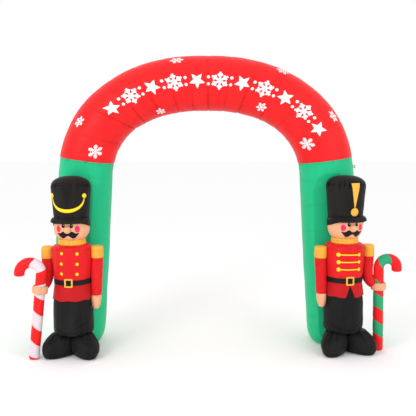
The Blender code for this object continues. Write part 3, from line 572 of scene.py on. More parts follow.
# Puckers along a seam: how many, depth, reach, width
FLOOR_PUCKERS = (46, 0.0040, 0.035, 0.011)
LEG_TOP_PUCKERS = (60, 0.0022, 0.03, 0.009)
LEG_TOP_PULL = 0.003
LEG_SLACK = (0.45, 0.0014)
LEG_DARKEST = 0.009
FLOOR_PULL = (0.003, 0.008)
# Profile of a leg: height, how much narrower than the full tube
LEG_ROWS = (
    (0.0, 0.075),
    (0.0, 0.058),
    (0.012, 0.044),
    (0.040, 0.022),
    (0.085, 0.009),
    (0.16, 0.004),
    (0.35, 0.002),
    (0.60, 0.001),
    (0.85, 0.0),
    (1.10, 0.0),
    (1.30, 0.0),
    (LEG_TOP, 0.001),
)
# Soft cross creases: side of the arch, height, degrees round, half height, reach, depth
LEG_CREASES = (
    (-1, 1.44, 250, 0.010, 0.8, 0.0020),
    (-1, 1.36, 300, 0.014, 0.6, 0.0016),
    (-1, 0.90, 200, 0.012, 0.5, 0.0018),
    (-1, 0.30, 190, 0.016, 0.7, 0.0022),
    (1, 1.42, 240, 0.010, 0.9, 0.0020),
    (1, 1.20, 215, 0.012, 0.8, 0.0022),
    (1, 0.98, 205, 0.010, 0.7, 0.0020),
    (1, 0.52, 190, 0.014, 0.6, 0.0018),
    (1, 0.24, 200, 0.016, 0.7, 0.0022),
)


def press_at(side, z):
    """Depth of the flat on one leg at any height."""
    heights, depths = zip(*LEG_PRESS[side])
    return np.interp(z, heights, depths)


def rounded(table, step, passes=3):
    """Rows along a soft curve through a table of sections, about a step apart."""
    rows = np.array(table, float)
    for _ in range(passes):
        softer = np.empty((2 * len(rows) - 2, rows.shape[1]))
        softer[0::2] = 0.75 * rows[:-1] + 0.25 * rows[1:]
        softer[1::2] = 0.25 * rows[:-1] + 0.75 * rows[1:]
        rows = np.vstack([rows[:1], softer, rows[-1:]])
    lengths = np.append(0, np.cumsum(np.linalg.norm(np.diff(rows[:, :2], axis=0), axis=1)))
    even = np.linspace(0, lengths[-1], int(lengths[-1] / step) + 2)
    return np.column_stack([np.interp(even, lengths, column) for column in rows.T])


green_polyester = polyester("green_polyester", GREEN, uneven=0.12)
green_thread = polyester("green_thread", GREEN_THREAD, roughness=0.55, crease_shade_strength=0.0)
leg_turns = turns_round(LEG_COLUMNS)
for name, side in (("left", -1), ("right", 1)):
    chance = np.random.default_rng(20 + side)
    rows = rounded(LEG_ROWS, 0.012)
    z, pull = rows[:, 0], rows[:, 1]
    drawn = puckers(leg_turns, TUBE_R, z - FLOOR_SEAM_Z, *FLOOR_PUCKERS, chance)
    drawn += seam_pull(z - FLOOR_SEAM_Z, *FLOOR_PULL)
    for leg, height, degrees, half, reach, depth in LEG_CREASES:
        if leg == side:
            turn = off_from(leg_turns, math.radians(degrees))
            wave = z[:, None] - height - 0.012 * np.sin(3 * turn)
            drawn += depth * hump(wave, half) * hump(turn, reach)
    radius = TUBE_R - pull[:, None] - drawn - slack(leg_turns, z, *LEG_SLACK, chance)
    foot = ARCH_HALF_SPAN + LEG_LEAN * (SPRING_Z - z)
    body = np.stack([
        (ARCH_X + side * foot)[:, None] + side * radius * np.cos(leg_turns),
        ARCH_Y + radius * np.sin(leg_turns),
        z[:, None] + 0 * radius,
    ], axis=-1)
    body[..., 1] = np.maximum(body[..., 1], press_at(side, body[..., 2]))
    top_drawn = LEG_TOP_PULL + puckers(leg_turns, TUBE_R, np.zeros(1), *LEG_TOP_PUCKERS, chance)
    seam = arch_tube(np.array([side * (CROWN_HALF + GAP / 2)]), np.array([side * CROWN_END_TILT]),
                     leg_turns, TUBE_R - top_drawn)[0]
    shares = np.linspace(0, 1, 12)[1:]
    share = shares[:, None]
    grid = np.concatenate([body, body[-1] + (seam - body[-1]) * share[..., None]])
    painted_crease_shade = np.concatenate([drawn, top_drawn * share ** 6 + drawn[-1] * (1 - share)])
    leg = skin("leg_cloth_" + name, grid, green_polyester, painted_crease_shade / LEG_DARKEST)
    dress(leg, ["arch_leg_" + name])
    on_leg = spot_finder(grid, np.concatenate([z, z[-1] + 0.10 * shares]), leg_turns, TUBE_R)
    line = np.linspace(0, 2 * math.pi * TUBE_R, 320)
    rows = [thread_row(on_leg, line * 0 + FLOOR_SEAM_Z + off, line, *STITCH)
            for off in (-STITCH_OFF_SEAM, STITCH_OFF_SEAM)]
    stitching("leg_stitches_" + name, rows, green_thread)


# Tether loop
# A short length of black webbing, folded into a loop and sewn by its two ends into the outer side
# of the right leg, for a guy line.
LOOP_Z = 1.518
LOOP_HALF_HEIGHT = 0.013
LOOP_REACH = 0.020
LOOP_WIDTH = 0.022
LOOP_THICK = 0.0025
LOOP_SEAT = 0.0009
# Where the webbing's ends leave the seam, and where it is free of it
LOOP_IN = 0.0012
LOOP_OUT = 0.003
WEBBING = (0.008, 0.008, 0.009)
loop_x = ARCH_X + np.interp(LOOP_Z, LINE[::-1, 1], LINE[::-1, 0]) + TUBE_R + LOOP_SEAT
bend = np.linspace(-math.pi / 2, math.pi / 2, 24)
reach = LOOP_REACH - LOOP_HALF_HEIGHT
mid = LOOP_HALF_HEIGHT - LOOP_THICK / 2
path = np.array([(LOOP_IN, -mid), (LOOP_OUT, -mid)]
                + [(reach + mid * math.cos(a), mid * math.sin(a)) for a in bend]
                + [(LOOP_OUT, mid), (LOOP_IN, mid), (LOOP_IN, mid / 2), (LOOP_IN, -mid / 2)])
tangent = np.roll(path, -1, axis=0) - np.roll(path, 1, axis=0)
tangent /= np.linalg.norm(tangent, axis=1)[:, None]
normal = np.column_stack([tangent[:, 1], -tangent[:, 0]])
section = [(LOOP_WIDTH / 2 * math.copysign(abs(math.cos(a)) ** 0.35, math.cos(a)),
            LOOP_THICK / 2 * math.copysign(abs(math.sin(a)) ** 0.6, math.sin(a)))
           for a in turns_round(12)]
grid = np.array([[(loop_x + p[0] + n[0] * t, ARCH_Y + w, LOOP_Z + p[1] + n[1] * t)
                  for w, t in section] for p, n in zip(path, normal)])
black_webbing = polyester("black_webbing", WEBBING, roughness=0.6, weave=1.0)
dress(skin("tether_webbing", grid, black_webbing, endless=True), ["tether_loop"])


# Boots
# Each soldier stands on two stuffed black boots, sewn from an upper and a sole and splayed like
# feet at attention. The cloth puckers at the sole seam and round the ankle.
SOLDIERS = (
    {
        "name": "left", "side": -1, "place": (-1.127, -0.192, 0.0), "body_turn": math.radians(3),
        "head_turn": math.radians(3), "foot_turn": math.radians(3), "foot_shift": -0.005,
        "seed": 3, "hem": 0.478, "foot": (0.3005, -0.130), "shaft_top": (0.2248, 0.6966),
        "hook_r": 0.0872, "hook_end": 0.6775, "fist_z": 0.568,
        "arm_lift": {"inner": 0.008, "outer": 0.0},
    },
    {
        "name": "right", "side": 1, "place": (1.090, -0.117, 0.0), "body_turn": math.radians(9),
        "head_turn": math.radians(15), "foot_turn": math.radians(10), "foot_shift": 0.016,
        "seed": 8, "hem": 0.490, "foot": (0.3024, 0.029), "shaft_top": (0.2917, 0.6968),
        "hook_r": 0.0745, "hook_end": 0.6664, "fist_z": 0.543,
        "arm_lift": {"inner": -0.004, "outer": 0.0},
    },
)
BLACK = (0.0120, 0.0117, 0.0120)
BOOT_COLUMNS = 120
# height, half length, half width, shift towards the toe
BOOT_ROWS = (
    (0.0000, 0.128, 0.066, 0.000),
    (0.0120, 0.149, 0.084, 0.000),
    (0.0400, 0.163, 0.099, 0.000),
    (0.0800, 0.166, 0.107, -0.002),
    (0.1200, 0.155, 0.105, -0.010),
    (0.1550, 0.133, 0.094, -0.026),
    (0.1847, 0.102, 0.079, -0.042),
)
BOOT_X = 0.104
BOOT_Y = -0.050
BOOT_SPLAY = math.radians(36)
SOLE_SEAM_Z = 0.030
BLACK_THREAD = (0.05, 0.05, 0.052)
# Puckers at a piece's seams: height, radius there, how many, depth, reach, width
BOOT_PUCKERS = (
    (0.190, 0.15, 26, 0.0080, 0.050, 0.011),
    (SOLE_SEAM_Z, 0.15, 44, 0.0022, 0.020, 0.007),
)
SOLE_PULL = (0.0025, 0.005)
BOOT_SLACK = (0.10, 0.0018)
BOOT_DARKEST = 0.012


def turned_by(grid, turn):
    """Turns points about the upright axis."""
    x, y = grid[..., 0], grid[..., 1]
    return np.stack([x * math.cos(turn) - y * math.sin(turn),
                     x * math.sin(turn) + y * math.cos(turn), grid[..., 2]], axis=-1)


def stand(grid, soldier, turned, room=0.0):
    """Turns a soldier's points outwards about its axis, as its body, head or feet are, sets them
    in their place and keeps them in front of the leg."""
    grid = turned_by(grid, soldier["side"] * soldier[turned]) + soldier["place"]
    limit = press_at(soldier["side"], grid[..., 2]) - GAP - room
    grid[..., 1] = np.minimum(grid[..., 1], limit)
    return grid


def gathers(turns, along, table, chance):
    """The puckers at all the seams of a piece."""
    return sum(puckers(turns, radius, along - place, count, depth, reach, width, chance)
               for place, radius, count, depth, reach, width in table)


def sew_on(soldier, part, grids, cloth, painted_crease_shade=None, endless=False):
    """Makes one piece of a soldier, in the place of the node that is called after it."""
    part = f"{soldier['name']}_{part}"
    return dress(skin(part, grids, cloth, painted_crease_shade, endless), ["soldier_" + part])


def print_on(soldier, part, patches, ink):
    """Adds a soldier's printed patches, which lie on another piece."""
    dress(skin(f"{soldier['name']}_{part}", patches, ink), ())


def luck(soldier, piece):
    """Random numbers of one piece of a soldier, the same on each run."""
    return np.random.default_rng(soldier["seed"] * 10 + piece)


# Strong painted sheen bands and near-black painted shade in the creases, for boots, trousers, belt,
# moustache and hair
black_polyester = polyester("black_polyester", BLACK, roughness=0.5, uneven=0.7,
                            crease_shade_strength=0.9, shine=0.06)
black_thread = polyester("black_thread", BLACK_THREAD, roughness=0.6, crease_shade_strength=0.0)
boot_turns = turns_round(BOOT_COLUMNS)
for soldier in SOLDIERS:
    for label, side in (("inner", -soldier["side"]), ("outer", soldier["side"])):
        chance = luck(soldier, side)
        rows = rounded(BOOT_ROWS, 0.0055)
        z = rows[:, 0]
        drawn = gathers(boot_turns, z, BOOT_PUCKERS, chance)
        drawn += seam_pull(z - SOLE_SEAM_Z, *SOLE_PULL)
        dents = slack(boot_turns, z, *BOOT_SLACK, chance)
        long, wide, shift = (rows[:, k][:, None] for k in (1, 2, 3))
        ahead = shift + (long - drawn - dents) * np.cos(boot_turns)
        beside = (wide - drawn - dents) * np.sin(boot_turns)
        splay = side * BOOT_SPLAY
        x = side * BOOT_X + ahead * math.sin(splay) - beside * math.cos(splay)
        y = BOOT_Y - ahead * math.cos(splay) - beside * math.sin(splay)
        x = side * np.maximum(side * x, GAP)
        grid = stand(np.stack([x, y, z[:, None] + 0 * x], axis=-1), soldier, "foot_turn")
        sew_on(soldier, "boot_" + label, grid + (soldier["foot_shift"], 0.0, 0.0),
               black_polyester, drawn / BOOT_DARKEST)


# Trousers
# Both legs of the trousers are one black sleeve, sewn on the boots below and to the tunic above.
# It hangs in soft upright folds and slants into creases over the boots.
TROUSERS = (
    (0.1850, 0.141, 0.142),
    (0.1950, 0.156, 0.157),
    (0.2200, 0.1625, 0.162),
    (0.3200, 0.1635, 0.163),
    (0.4200, 0.160, 0.160),
    (0.4500, 0.158, 0.158),
    (0.5000, 0.153, 0.153),
    (0.6000, 0.142, 0.142),
)
# Tunic, skirt and hanging arm are flattened against each other: height, distance from the axis
SIDE_PRESS = (
    (0.38, 0.1500),
    (0.50, 0.1505),
    (0.60, 0.1525),
    (0.70, 0.1565),
    (0.80, 0.1590),
    (0.92, 0.1590),
)
SKIRT_ROOM = 0.006
SKIRT_ROOM_FROM = 0.44
TURNS = turns_round(160)
TROUSER_PUCKERS = ((0.190, 0.16, 34, 0.0050, 0.030, 0.010),)
TROUSER_SLACK = (0.30, 0.0014)
TROUSER_FOLD_DEPTH = 0.0016
TROUSER_DARKEST = 0.010
CREASE_HALF = 0.0065
# Creases over the boots: degrees round from the front, height, slant, half length, depth
ANKLE_CREASES = (
    (28, 0.262, 0.50, 0.34, 0.0040),
    (36, 0.236, 0.35, 0.30, 0.0045),
    (20, 0.300, 0.60, 0.22, 0.0028),
    (48, 0.290, 0.40, 0.22, 0.0030),
    (-30, 0.228, -0.40, 0.30, 0.0035),
    (-48, 0.256, -0.50, 0.24, 0.0028),
    (4, 0.212, 0.05, 0.26, 0.0050),
    (95, 0.235, 0.20, 0.40, 0.0035),
    (-95, 0.240, -0.20, 0.40, 0.0035),
)


def column(rows, drawn):
    """Points of an upright form with oval sections, turned from its front to its right."""
    wide, deep = rows[:, 1][:, None] - drawn, rows[:, 2][:, None] - drawn
    return np.stack([wide * np.sin(TURNS), -deep * np.cos(TURNS),
                     rows[:, 0][:, None] + 0 * wide], axis=-1)


def beside_arm(grid, side, room=0.0):
    """Flattens a soldier's points at one side, where its arm lies against them."""
    heights, limits = zip(*SIDE_PRESS)
    limit = np.interp(grid[..., 2], heights, limits) - room
    x = side * np.minimum(side * grid[..., 0], limit)
    return np.stack([x, grid[..., 1], grid[..., 2]], axis=-1)


def slanting(z, turns, table):
    """Soft slanting troughs, as depths that the cloth is drawn in by."""
    total = np.zeros((len(z), len(turns)))
    for degrees, height, slant, reach, depth in table:
        off = off_from(turns, math.radians(degrees))
        line = z[:, None] - height - 0.15 * slant * off
        total += depth * hump(line, CREASE_HALF) * hump(off, reach)
    return total


for soldier in SOLDIERS:
    chance = luck(soldier, 2)
    rows = rounded(TROUSERS, 0.0055)
    z = rows[:, 0]
    drawn = gathers(TURNS, z, TROUSER_PUCKERS, chance) + slanting(z, TURNS, ANKLE_CREASES)
    folds = TROUSER_FOLD_DEPTH * np.cos(9 * TURNS + chance.uniform(0, 6)) * np.cos(4 * TURNS) ** 2
    fade = np.clip((0.60 - z) / 0.25, 0, 1)[:, None]
    dents = slack(TURNS, z, *TROUSER_SLACK, chance) + folds * fade
    room = SKIRT_ROOM * np.interp(z, (0.42, SKIRT_ROOM_FROM), (0, 1))[:, None]
    free = 0.02 * np.clip((0.40 - z) / 0.05, 0, 1)[:, None]
    grid = beside_arm(column(rows, drawn + dents), -soldier["side"], room - free)
    sew_on(soldier, "trousers", stand(grid, soldier, "body_turn", room), black_polyester,
           drawn / TROUSER_DARKEST)


# Tunic
# The chest is a red sleeve with a gathered shoulder panel, pressed flat at both sides where the
# arms are sewn on. Its trim is printed: two rows of yellow buttons, or three yellow bars.
TUNIC = (
    (0.6003, 0.147, 0.146),
    (0.6450, 0.149, 0.148),
    (0.7200, 0.156, 0.155),
    (0.8000, 0.162, 0.159),
    (0.8600, 0.164, 0.160),
    (0.8930, 0.161, 0.157),
    (0.9060, 0.149, 0.148),
    (0.9130, 0.132, 0.134),
    (0.9157, 0.113, 0.116),
)
BELT_ROOM = 0.0045
SHOULDER_SEAM_Z = 0.885
TUNIC_PUCKERS = (
    (0.6400, 0.15, 40, 0.0022, 0.035, 0.009),
    (SHOULDER_SEAM_Z, 0.15, 44, 0.0022, 0.020, 0.008),
    (0.9150, 0.13, 40, 0.0030, 0.018, 0.008),
)
SHOULDER_PULL = (0.0015, 0.004)
TUNIC_SLACK = (0.20, 0.0012)
TUNIC_DARKEST = 0.006
TUNIC_RED = (0.72, 0.011, 0.014)
YELLOW = (0.95, 0.70, 0.020)
BUTTON_R = 0.0125
# Distance round from the front, height
BUTTONS = (
    (-0.0505, 0.861), (0.0750, 0.858),
    (-0.0542, 0.778), (0.0735, 0.775),
    (-0.0570, 0.696), (0.0700, 0.693),
)
# Left knob, right knob: distance round from the front, height, radius
BARS = (
    ((-0.1030, 0.8380, 0.0165), (0.0750, 0.8350, 0.0135)),
    ((-0.1000, 0.7770, 0.0165), (0.0770, 0.7765, 0.0135)),
    ((-0.0980, 0.7160, 0.0165), (0.0790, 0.7145, 0.0135)),
)
BAR_HALF = 0.0045
# Printed trim: clearance, thickness
BUTTON_PRINT = (0.0006, 0.0016)
BAR_PRINT = (0.0008, 0.0008)
KNOB_PRINT = (0.0010, 0.0018)
PLEAT_HALF = 0.0045
PLEAT_REACH = 0.4
# Fine pleats across the chest between the bars: height, depth
CHEST_PLEATS = (
    (0.836, 0.0014), (0.822, 0.0010), (0.808, 0.0014), (0.773, 0.0012), (0.760, 0.0014),
    (0.745, 0.0010), (0.712, 0.0014), (0.697, 0.0012), (0.683, 0.0010), (0.668, 0.0012),
)
tunic_red = polyester("tunic_red_polyester", TUNIC_RED, uneven=0.20)
yellow_polyester = polyester("yellow_polyester", YELLOW, roughness=0.42, uneven=0.06)
for soldier in SOLDIERS:
    chance = luck(soldier, 3)
    rows = rounded(TUNIC, 0.005)
    z = rows[:, 0]
    drawn = gathers(TURNS, z, TUNIC_PUCKERS, chance)
    drawn += seam_pull(z - SHOULDER_SEAM_Z, *SHOULDER_PULL)
    if soldier["side"] > 0:
        front = hump(off_from(TURNS, 0), PLEAT_REACH)
        for height, depth in CHEST_PLEATS:
            drawn += depth * hump(z - height, PLEAT_HALF)[:, None] * front
    dents = slack(TURNS, z, *TUNIC_SLACK, chance)
    grid = beside_arm(beside_arm(column(rows, drawn + dents), 1), -1)
    belted = BELT_ROOM * np.clip((0.67 - z) / 0.02, 0, 1)[:, None]
    grid = stand(grid, soldier, "body_turn", belted)
    sew_on(soldier, "tunic", grid, tunic_red, drawn / TUNIC_DARKEST)
    find = spot_finder(grid, z, TURNS, rows[:, 1])
    if soldier["side"] < 0:
        trim = [disc(find, height, along, BUTTON_R, BUTTON_R, *BUTTON_PRINT, sides=24)
                for along, height in BUTTONS]
    else:
        trim = []
        for knobs in BARS:
            (left, left_z, _), (right, right_z, _) = knobs
            steps = np.linspace(0, 1, 30)[:, None]
            line = (left_z, left) + steps * np.array((right_z - left_z, right - left))
            trim.append(ribbon(find, line, np.full(30, BAR_HALF), *BAR_PRINT, lanes=4))
            for along, height, radius in knobs:
                trim.append(disc(find, height, along, radius, radius, *KNOB_PRINT, sides=24))
    print_on(soldier, "tunic_trim", trim, yellow_polyester)


# Tunic skirt
# A loose flap of darker red cloth, sewn in under the belt all round and hemmed below. It is a thin
# sheet that stands out in soft folds. The right one is cut to a point up its front.
SKIRT = (
    (0.5997, 0.1470, 0.1460),
    (0.5800, 0.1480, 0.1465),
    (0.5400, 0.1540, 0.1560),
    (0.5000, 0.1590, 0.1630),
    (0.4680, 0.1625, 0.1680),
)
SKIRT_THICK = 0.0016
SKIRT_FOLDS = 8
SKIRT_FOLD_DEPTH = 0.0028
SKIRT_RIPPLES = (13, 19, 27, 34)
SKIRT_RIPPLE_DEPTH = 0.0022
SKIRT_R = 0.16
SKIRT_STATIONS = 288
SKIRT_ROWS = 26
SPLIT_HALF = math.radians(13.5)
SPLIT_TOP = 0.586
HEM_DIP = 0.004
HEM_FOLD = 0.012
HEM_BULGE = 0.0006
HEM_STITCHES = (0.008, 0.005)
DARK_RED = (0.50, 0.008, 0.010)
dark_red_polyester = polyester("dark_red_polyester", DARK_RED, roughness=0.5, uneven=0.12)
skirt_z, skirt_wide, skirt_deep = np.array(SKIRT[::-1]).T
for soldier in SOLDIERS:
    chance = luck(soldier, 4)
    angle = turns_round(SKIRT_STATIONS)
    hem = soldier["hem"] + HEM_DIP * np.cos(SKIRT_FOLDS * angle)
    if soldier["side"] > 0:
        slope = np.clip(abs(off_from(angle, 0)) / SPLIT_HALF, 0, 1)
        hem = SPLIT_TOP + (hem - SPLIT_TOP) * slope
    small = sum(np.cos(k * angle + chance.uniform(0, 6)) / 4 for k in SKIRT_RIPPLES)
    inside, outside = [], []
    for share in np.linspace(0, 1, SKIRT_ROWS):
        z = hem + (SKIRT[0][0] - hem) * share
        drop = (SKIRT[0][0] - z) / (SKIRT[0][0] - SKIRT[-1][0])
        wide, deep = np.interp(z, skirt_z, skirt_wide), np.interp(z, skirt_z, skirt_deep)
        fold = SKIRT_FOLD_DEPTH * drop * np.cos(SKIRT_FOLDS * angle) * np.cos(angle) ** 2
        fold += SKIRT_RIPPLE_DEPTH * small * np.sqrt(np.clip(drop, 0, 1)) * np.cos(angle) ** 2
        hem_bulge = HEM_BULGE * (z - hem < HEM_FOLD) * (share < 0.5)
        for points, extra in ((inside, 0.0), (outside, SKIRT_THICK + hem_bulge)):
            x = (wide + fold + extra) * np.sin(angle)
            y = -(deep + fold + extra) * np.cos(angle)
            room = SKIRT_THICK + HEM_BULGE - extra
            place = beside_arm(np.column_stack([x, y, z]), -soldier["side"], GAP + room)
            points.append(stand(place, soldier, "body_turn", room))
    grid = np.concatenate([inside, outside[::-1]]).transpose(1, 0, 2)
    piece = sew_on(soldier, "skirt", grid, dark_red_polyester, endless=True)
    on_skirt = spot_finder(np.array(outside), np.linspace(0, 1, SKIRT_ROWS), angle, SKIRT_R)
    round_it = np.linspace(0, 2 * math.pi * SKIRT_R, 600)
    split = (soldier["side"] > 0) * (abs(off_from(round_it / SKIRT_R, 0)) < SPLIT_HALF)
    row = 0.085 + 0.05 * split
    stitching(soldier["name"] + "_hem_stitches",
              [thread_row(on_skirt, row, round_it, *HEM_STITCHES)],
              red_thread, thick=0.0006)


# Belt and buckle
# A flat black band sewn round the foot of the tunic, with a padded gold square over it in front.
# The band shows through the middle of the square.
BELT_BOTTOM = 0.6003
BELT_TOP = 0.643
BELT_THICK = 0.0035
BUCKLE_HALF_WIDTH = 0.033
BUCKLE_HALF_HEIGHT = 0.036
BUCKLE_FRAME = 0.013
BUCKLE_THICK = 0.0045
GOLD = (0.88, 0.43, 0.055)
# Going round the padded band: height, distance off the tunic
BELT_SECTION = (
    (BELT_BOTTOM, 0.0005), (BELT_BOTTOM, 0.0030), (0.6020, 0.0038), (0.6110, 0.0034),
    (0.6220, 0.0033), (0.6330, 0.0034), (0.6412, 0.0038), (BELT_TOP, 0.0030),
    (BELT_TOP, 0.0005), (0.6220, 0.0004),
)
# Across one side of the padded square: share of its width, share of its thickness
BUCKLE_SECTION = (
    (0.0, 0.0), (0.04, 0.55), (0.25, 0.92), (0.5, 1.0), (0.75, 0.92), (0.96, 0.55), (1.0, 0.0),
)
gold_polyester = polyester("gold_polyester", GOLD, roughness=0.42, uneven=0.08)
buckle_z = (BELT_BOTTOM + BELT_TOP) / 2
tunic_z, tunic_wide, tunic_deep = np.array(TUNIC).T
belt_turns = turns_round(240)
sweep = np.linspace(-1, 1, 13)[:-1]
corners = [(u, -1) for u in sweep] + [(1, v) for v in sweep]
corners += [(-u, 1) for u in sweep] + [(-1, -v) for v in sweep]
for soldier in SOLDIERS:
    rings = []
    for z, lift in BELT_SECTION:
        off = lift + 0.0004 * np.cos(17 * belt_turns) * (lift > 0.001)
        rings.append(np.column_stack([
            (np.interp(z, tunic_z, tunic_wide) + off) * np.sin(belt_turns),
            -(np.interp(z, tunic_z, tunic_deep) + off) * np.cos(belt_turns),
            np.full(len(belt_turns), z)]))
    rings = beside_arm(np.array(rings).transpose(1, 0, 2), -soldier["side"], GAP)
    back = np.array([BELT_THICK * (i in (0, 9)) for i in range(10)])
    sew_on(soldier, "belt", stand(rings, soldier, "body_turn", back), black_polyester,
           endless=True)
    grid = []
    for u, v in corners:
        loop = []
        for share, lift in BUCKLE_SECTION:
            half_u = BUCKLE_HALF_WIDTH - BUCKLE_FRAME * (1 - share)
            half_v = BUCKLE_HALF_HEIGHT - BUCKLE_FRAME * (1 - share)
            round_off = 1 - 0.06 * abs(u * v) ** 6
            turn = u * half_u * round_off / 0.147
            reach = BELT_THICK + 0.0007 + BUCKLE_THICK * lift
            loop.append(((0.1475 + reach) * math.sin(turn), -(0.1468 + reach) * math.cos(turn),
                         buckle_z + v * half_v * round_off))
        grid.append(loop)
    sew_on(soldier, "buckle", stand(np.array(grid), soldier, "body_turn"), gold_polyester,
           endless=True)


# Collar
# A short gold tube between tunic and head, with a line of stitching round its middle that draws
# it in.
COLLAR = (
    (0.9160, 0.1090, 0.1120),
    (0.9210, 0.1125, 0.1155),
    (0.9300, 0.1125, 0.1155),
    (0.9370, 0.1085, 0.1115),
    (0.9440, 0.1110, 0.1130),
    (0.9530, 0.1100, 0.1120),
    (0.9600, 0.1055, 0.1075),
)
COLLAR_PUCKERS = (
    (0.937, 0.115, 44, 0.0016, 0.010, 0.006),
    (0.960, 0.115, 40, 0.0016, 0.010, 0.006),
)
COLLAR_DARKEST = 0.004
for soldier in SOLDIERS:
    rows = rounded(COLLAR, 0.0025, passes=2)
    drawn = gathers(TURNS, rows[:, 0], COLLAR_PUCKERS, luck(soldier, 5))
    sew_on(soldier, "collar", stand(column(rows, drawn), soldier, "body_turn"), gold_polyester,
           drawn / COLLAR_DARKEST)


# Epaulettes, sleeves and mittens
# The arms are stuffed tubes sewn flat against the tunic: a finely pleated gold cap on top, a red
# sleeve, and a skin-coloured mitten. The outer arm bends to the cane and ends in a fist.
ARM_X = 0.2025
ARM_TURNS = turns_round(96)
# Height, half width, half depth, distance from the soldier's axis
EPAULETTE = (
    (0.8000, 0.0505, 0.0560, ARM_X),
    (0.8040, 0.0515, 0.0570, ARM_X),
    (0.8350, 0.0515, 0.0570, ARM_X),
    (0.8700, 0.0500, 0.0550, ARM_X),
    (0.8900, 0.0470, 0.0500, ARM_X),
    (0.8940, 0.0360, 0.0400, ARM_X),
    (0.8945, 0.0150, 0.0190, ARM_X),
)
STRAIGHT_SLEEVE = (
    (0.5000, 0.0430, 0.0450, 0.1895),
    (0.5100, 0.0445, 0.0465, 0.1900),
    (0.6500, 0.0475, 0.0490, 0.1965),
    (0.7997, 0.0495, 0.0530, ARM_X),
)
MITTEN = (
    (0.3820, 0.0060, 0.0070, 0.1860),
    (0.3825, 0.0170, 0.0180, 0.1860),
    (0.3940, 0.0260, 0.0280, 0.1862),
    (0.4130, 0.0325, 0.0355, 0.1868),
    (0.4400, 0.0385, 0.0425, 0.1875),
    (0.4750, 0.0430, 0.0450, 0.1885),
    (0.4997, 0.0415, 0.0430, 0.1890),
)
EPAULETTE_PUCKERS = ((0.801, 0.05, 20, 0.0015, 0.012, 0.005),)
SLEEVE_PUCKERS = (
    (0.7990, 0.05, 24, 0.0022, 0.030, 0.005),
    (0.5010, 0.05, 24, 0.0020, 0.018, 0.005),
)
MITTEN_PUCKERS = ((0.499, 0.045, 20, 0.0022, 0.016, 0.005),)
SLEEVE_SLACK = (0.10, 0.0008)
SLEEVE_DARKEST = 0.005
MITTEN_DARKEST = 0.006
# Fine pleats of an epaulette: how many, half depth, height at which they start
PLEATS = (34, 0.0009, 0.885)
# Thumb of a mitten: turn from its front, height, depth of the notch below it
THUMB = (0.75, 0.445, 0.0035)
SKIN = (0.84, 0.42, 0.235)
skin_polyester = polyester("skin_polyester", SKIN, roughness=0.5, uneven=0.06, weave=0.6)


def beside_tunic(grid, side):
    """Flattens an arm's inner side against the tunic."""
    heights, limits = zip(*SIDE_PRESS)
    x = side * np.maximum(side * grid[..., 0], np.interp(grid[..., 2], heights, limits) + GAP)
    return np.stack([x, grid[..., 1], grid[..., 2]], axis=-1)


def arm_piece(rows, side, drawn):
    """Points of an upright arm piece, flat on the side that lies against the tunic."""
    x = side * rows[:, 3][:, None] + (rows[:, 1][:, None] - drawn) * np.sin(ARM_TURNS)
    y = -(rows[:, 2][:, None] - drawn) * np.cos(ARM_TURNS)
    return beside_tunic(np.stack([x, y, rows[:, 0][:, None] + 0 * x], axis=-1), side)


for soldier in SOLDIERS:
    side = soldier["side"]
    chance = luck(soldier, 6)
    rows = rounded(EPAULETTE, 0.003)
    z = rows[:, 0]
    count, depth, start = PLEATS
    pleats = depth * (1 - np.cos(count * ARM_TURNS)) * np.clip((start - z) / 0.02, 0, 1)[:, None]
    for label, arm_side in (("inner", -side), ("outer", side)):
        drawn = pleats + gathers(ARM_TURNS, z, EPAULETTE_PUCKERS, chance)
        grid = arm_piece(rows, arm_side, drawn) + (0.0, 0.0, soldier["arm_lift"][label])
        sew_on(soldier, "epaulette_" + label, stand(grid, soldier, "body_turn"), gold_polyester,
               drawn / SLEEVE_DARKEST)

    rows = rounded(STRAIGHT_SLEEVE, 0.0045)
    z = rows[:, 0]
    drawn = gathers(ARM_TURNS, z, SLEEVE_PUCKERS, chance)
    drawn += slack(ARM_TURNS, z, *SLEEVE_SLACK, chance)
    grid = arm_piece(rows, -side, drawn)
    grid[..., 2] += np.clip((grid[..., 2] - 0.5) / 0.2997, 0, 1) * soldier["arm_lift"]["inner"]
    sew_on(soldier, "sleeve_straight", stand(grid, soldier, "body_turn"), tunic_red,
           drawn / SLEEVE_DARKEST)

    rows = rounded(MITTEN, 0.003)
    z = rows[:, 0]
    thumb, height, depth = THUMB
    off = off_from(ARM_TURNS, side * thumb)
    line = z[:, None] - height - 0.05 * off * side
    drawn = depth * hump(line, 0.006) * hump(off, 0.5)
    drawn += gathers(ARM_TURNS, z, MITTEN_PUCKERS, chance)
    sew_on(soldier, "mitten", stand(arm_piece(rows, -side, drawn), soldier, "body_turn"),
           skin_polyester, drawn / MITTEN_DARKEST)


# Candy canes
# Each cane is a stuffed tube pieced from slanting bands of two colours and bent over at the top
# by its seams. It stands on its own foot and is held in the soldier's fist.
CANE_R = 0.0425
CANE_COLUMNS = 72
# Puckers at a stripe's seam: how many, depth, reach, width
STRIPE_PUCKERS = (16, 0.0012, 0.014, 0.004)
# Ripples inside the bend: first and last height over the shaft's top, pitch, half height, depth
BEND_RIPPLES = (0.02, 0.28, 0.016, 0.0035, 0.0018)
STRIPE_PULL = (0.0012, 0.004)
CANE_SLACK = (0.12, 0.0005)
CANE_DARKEST = 0.004
CANE_GREEN = (0.030, 0.36, 0.165)
# Share of the full radius near both ends: distance from the end, share
CANE_END = ((0.0, 0.70), (0.0015, 0.80), (0.005, 0.91), (0.010, 0.97), (0.018, 1.0))
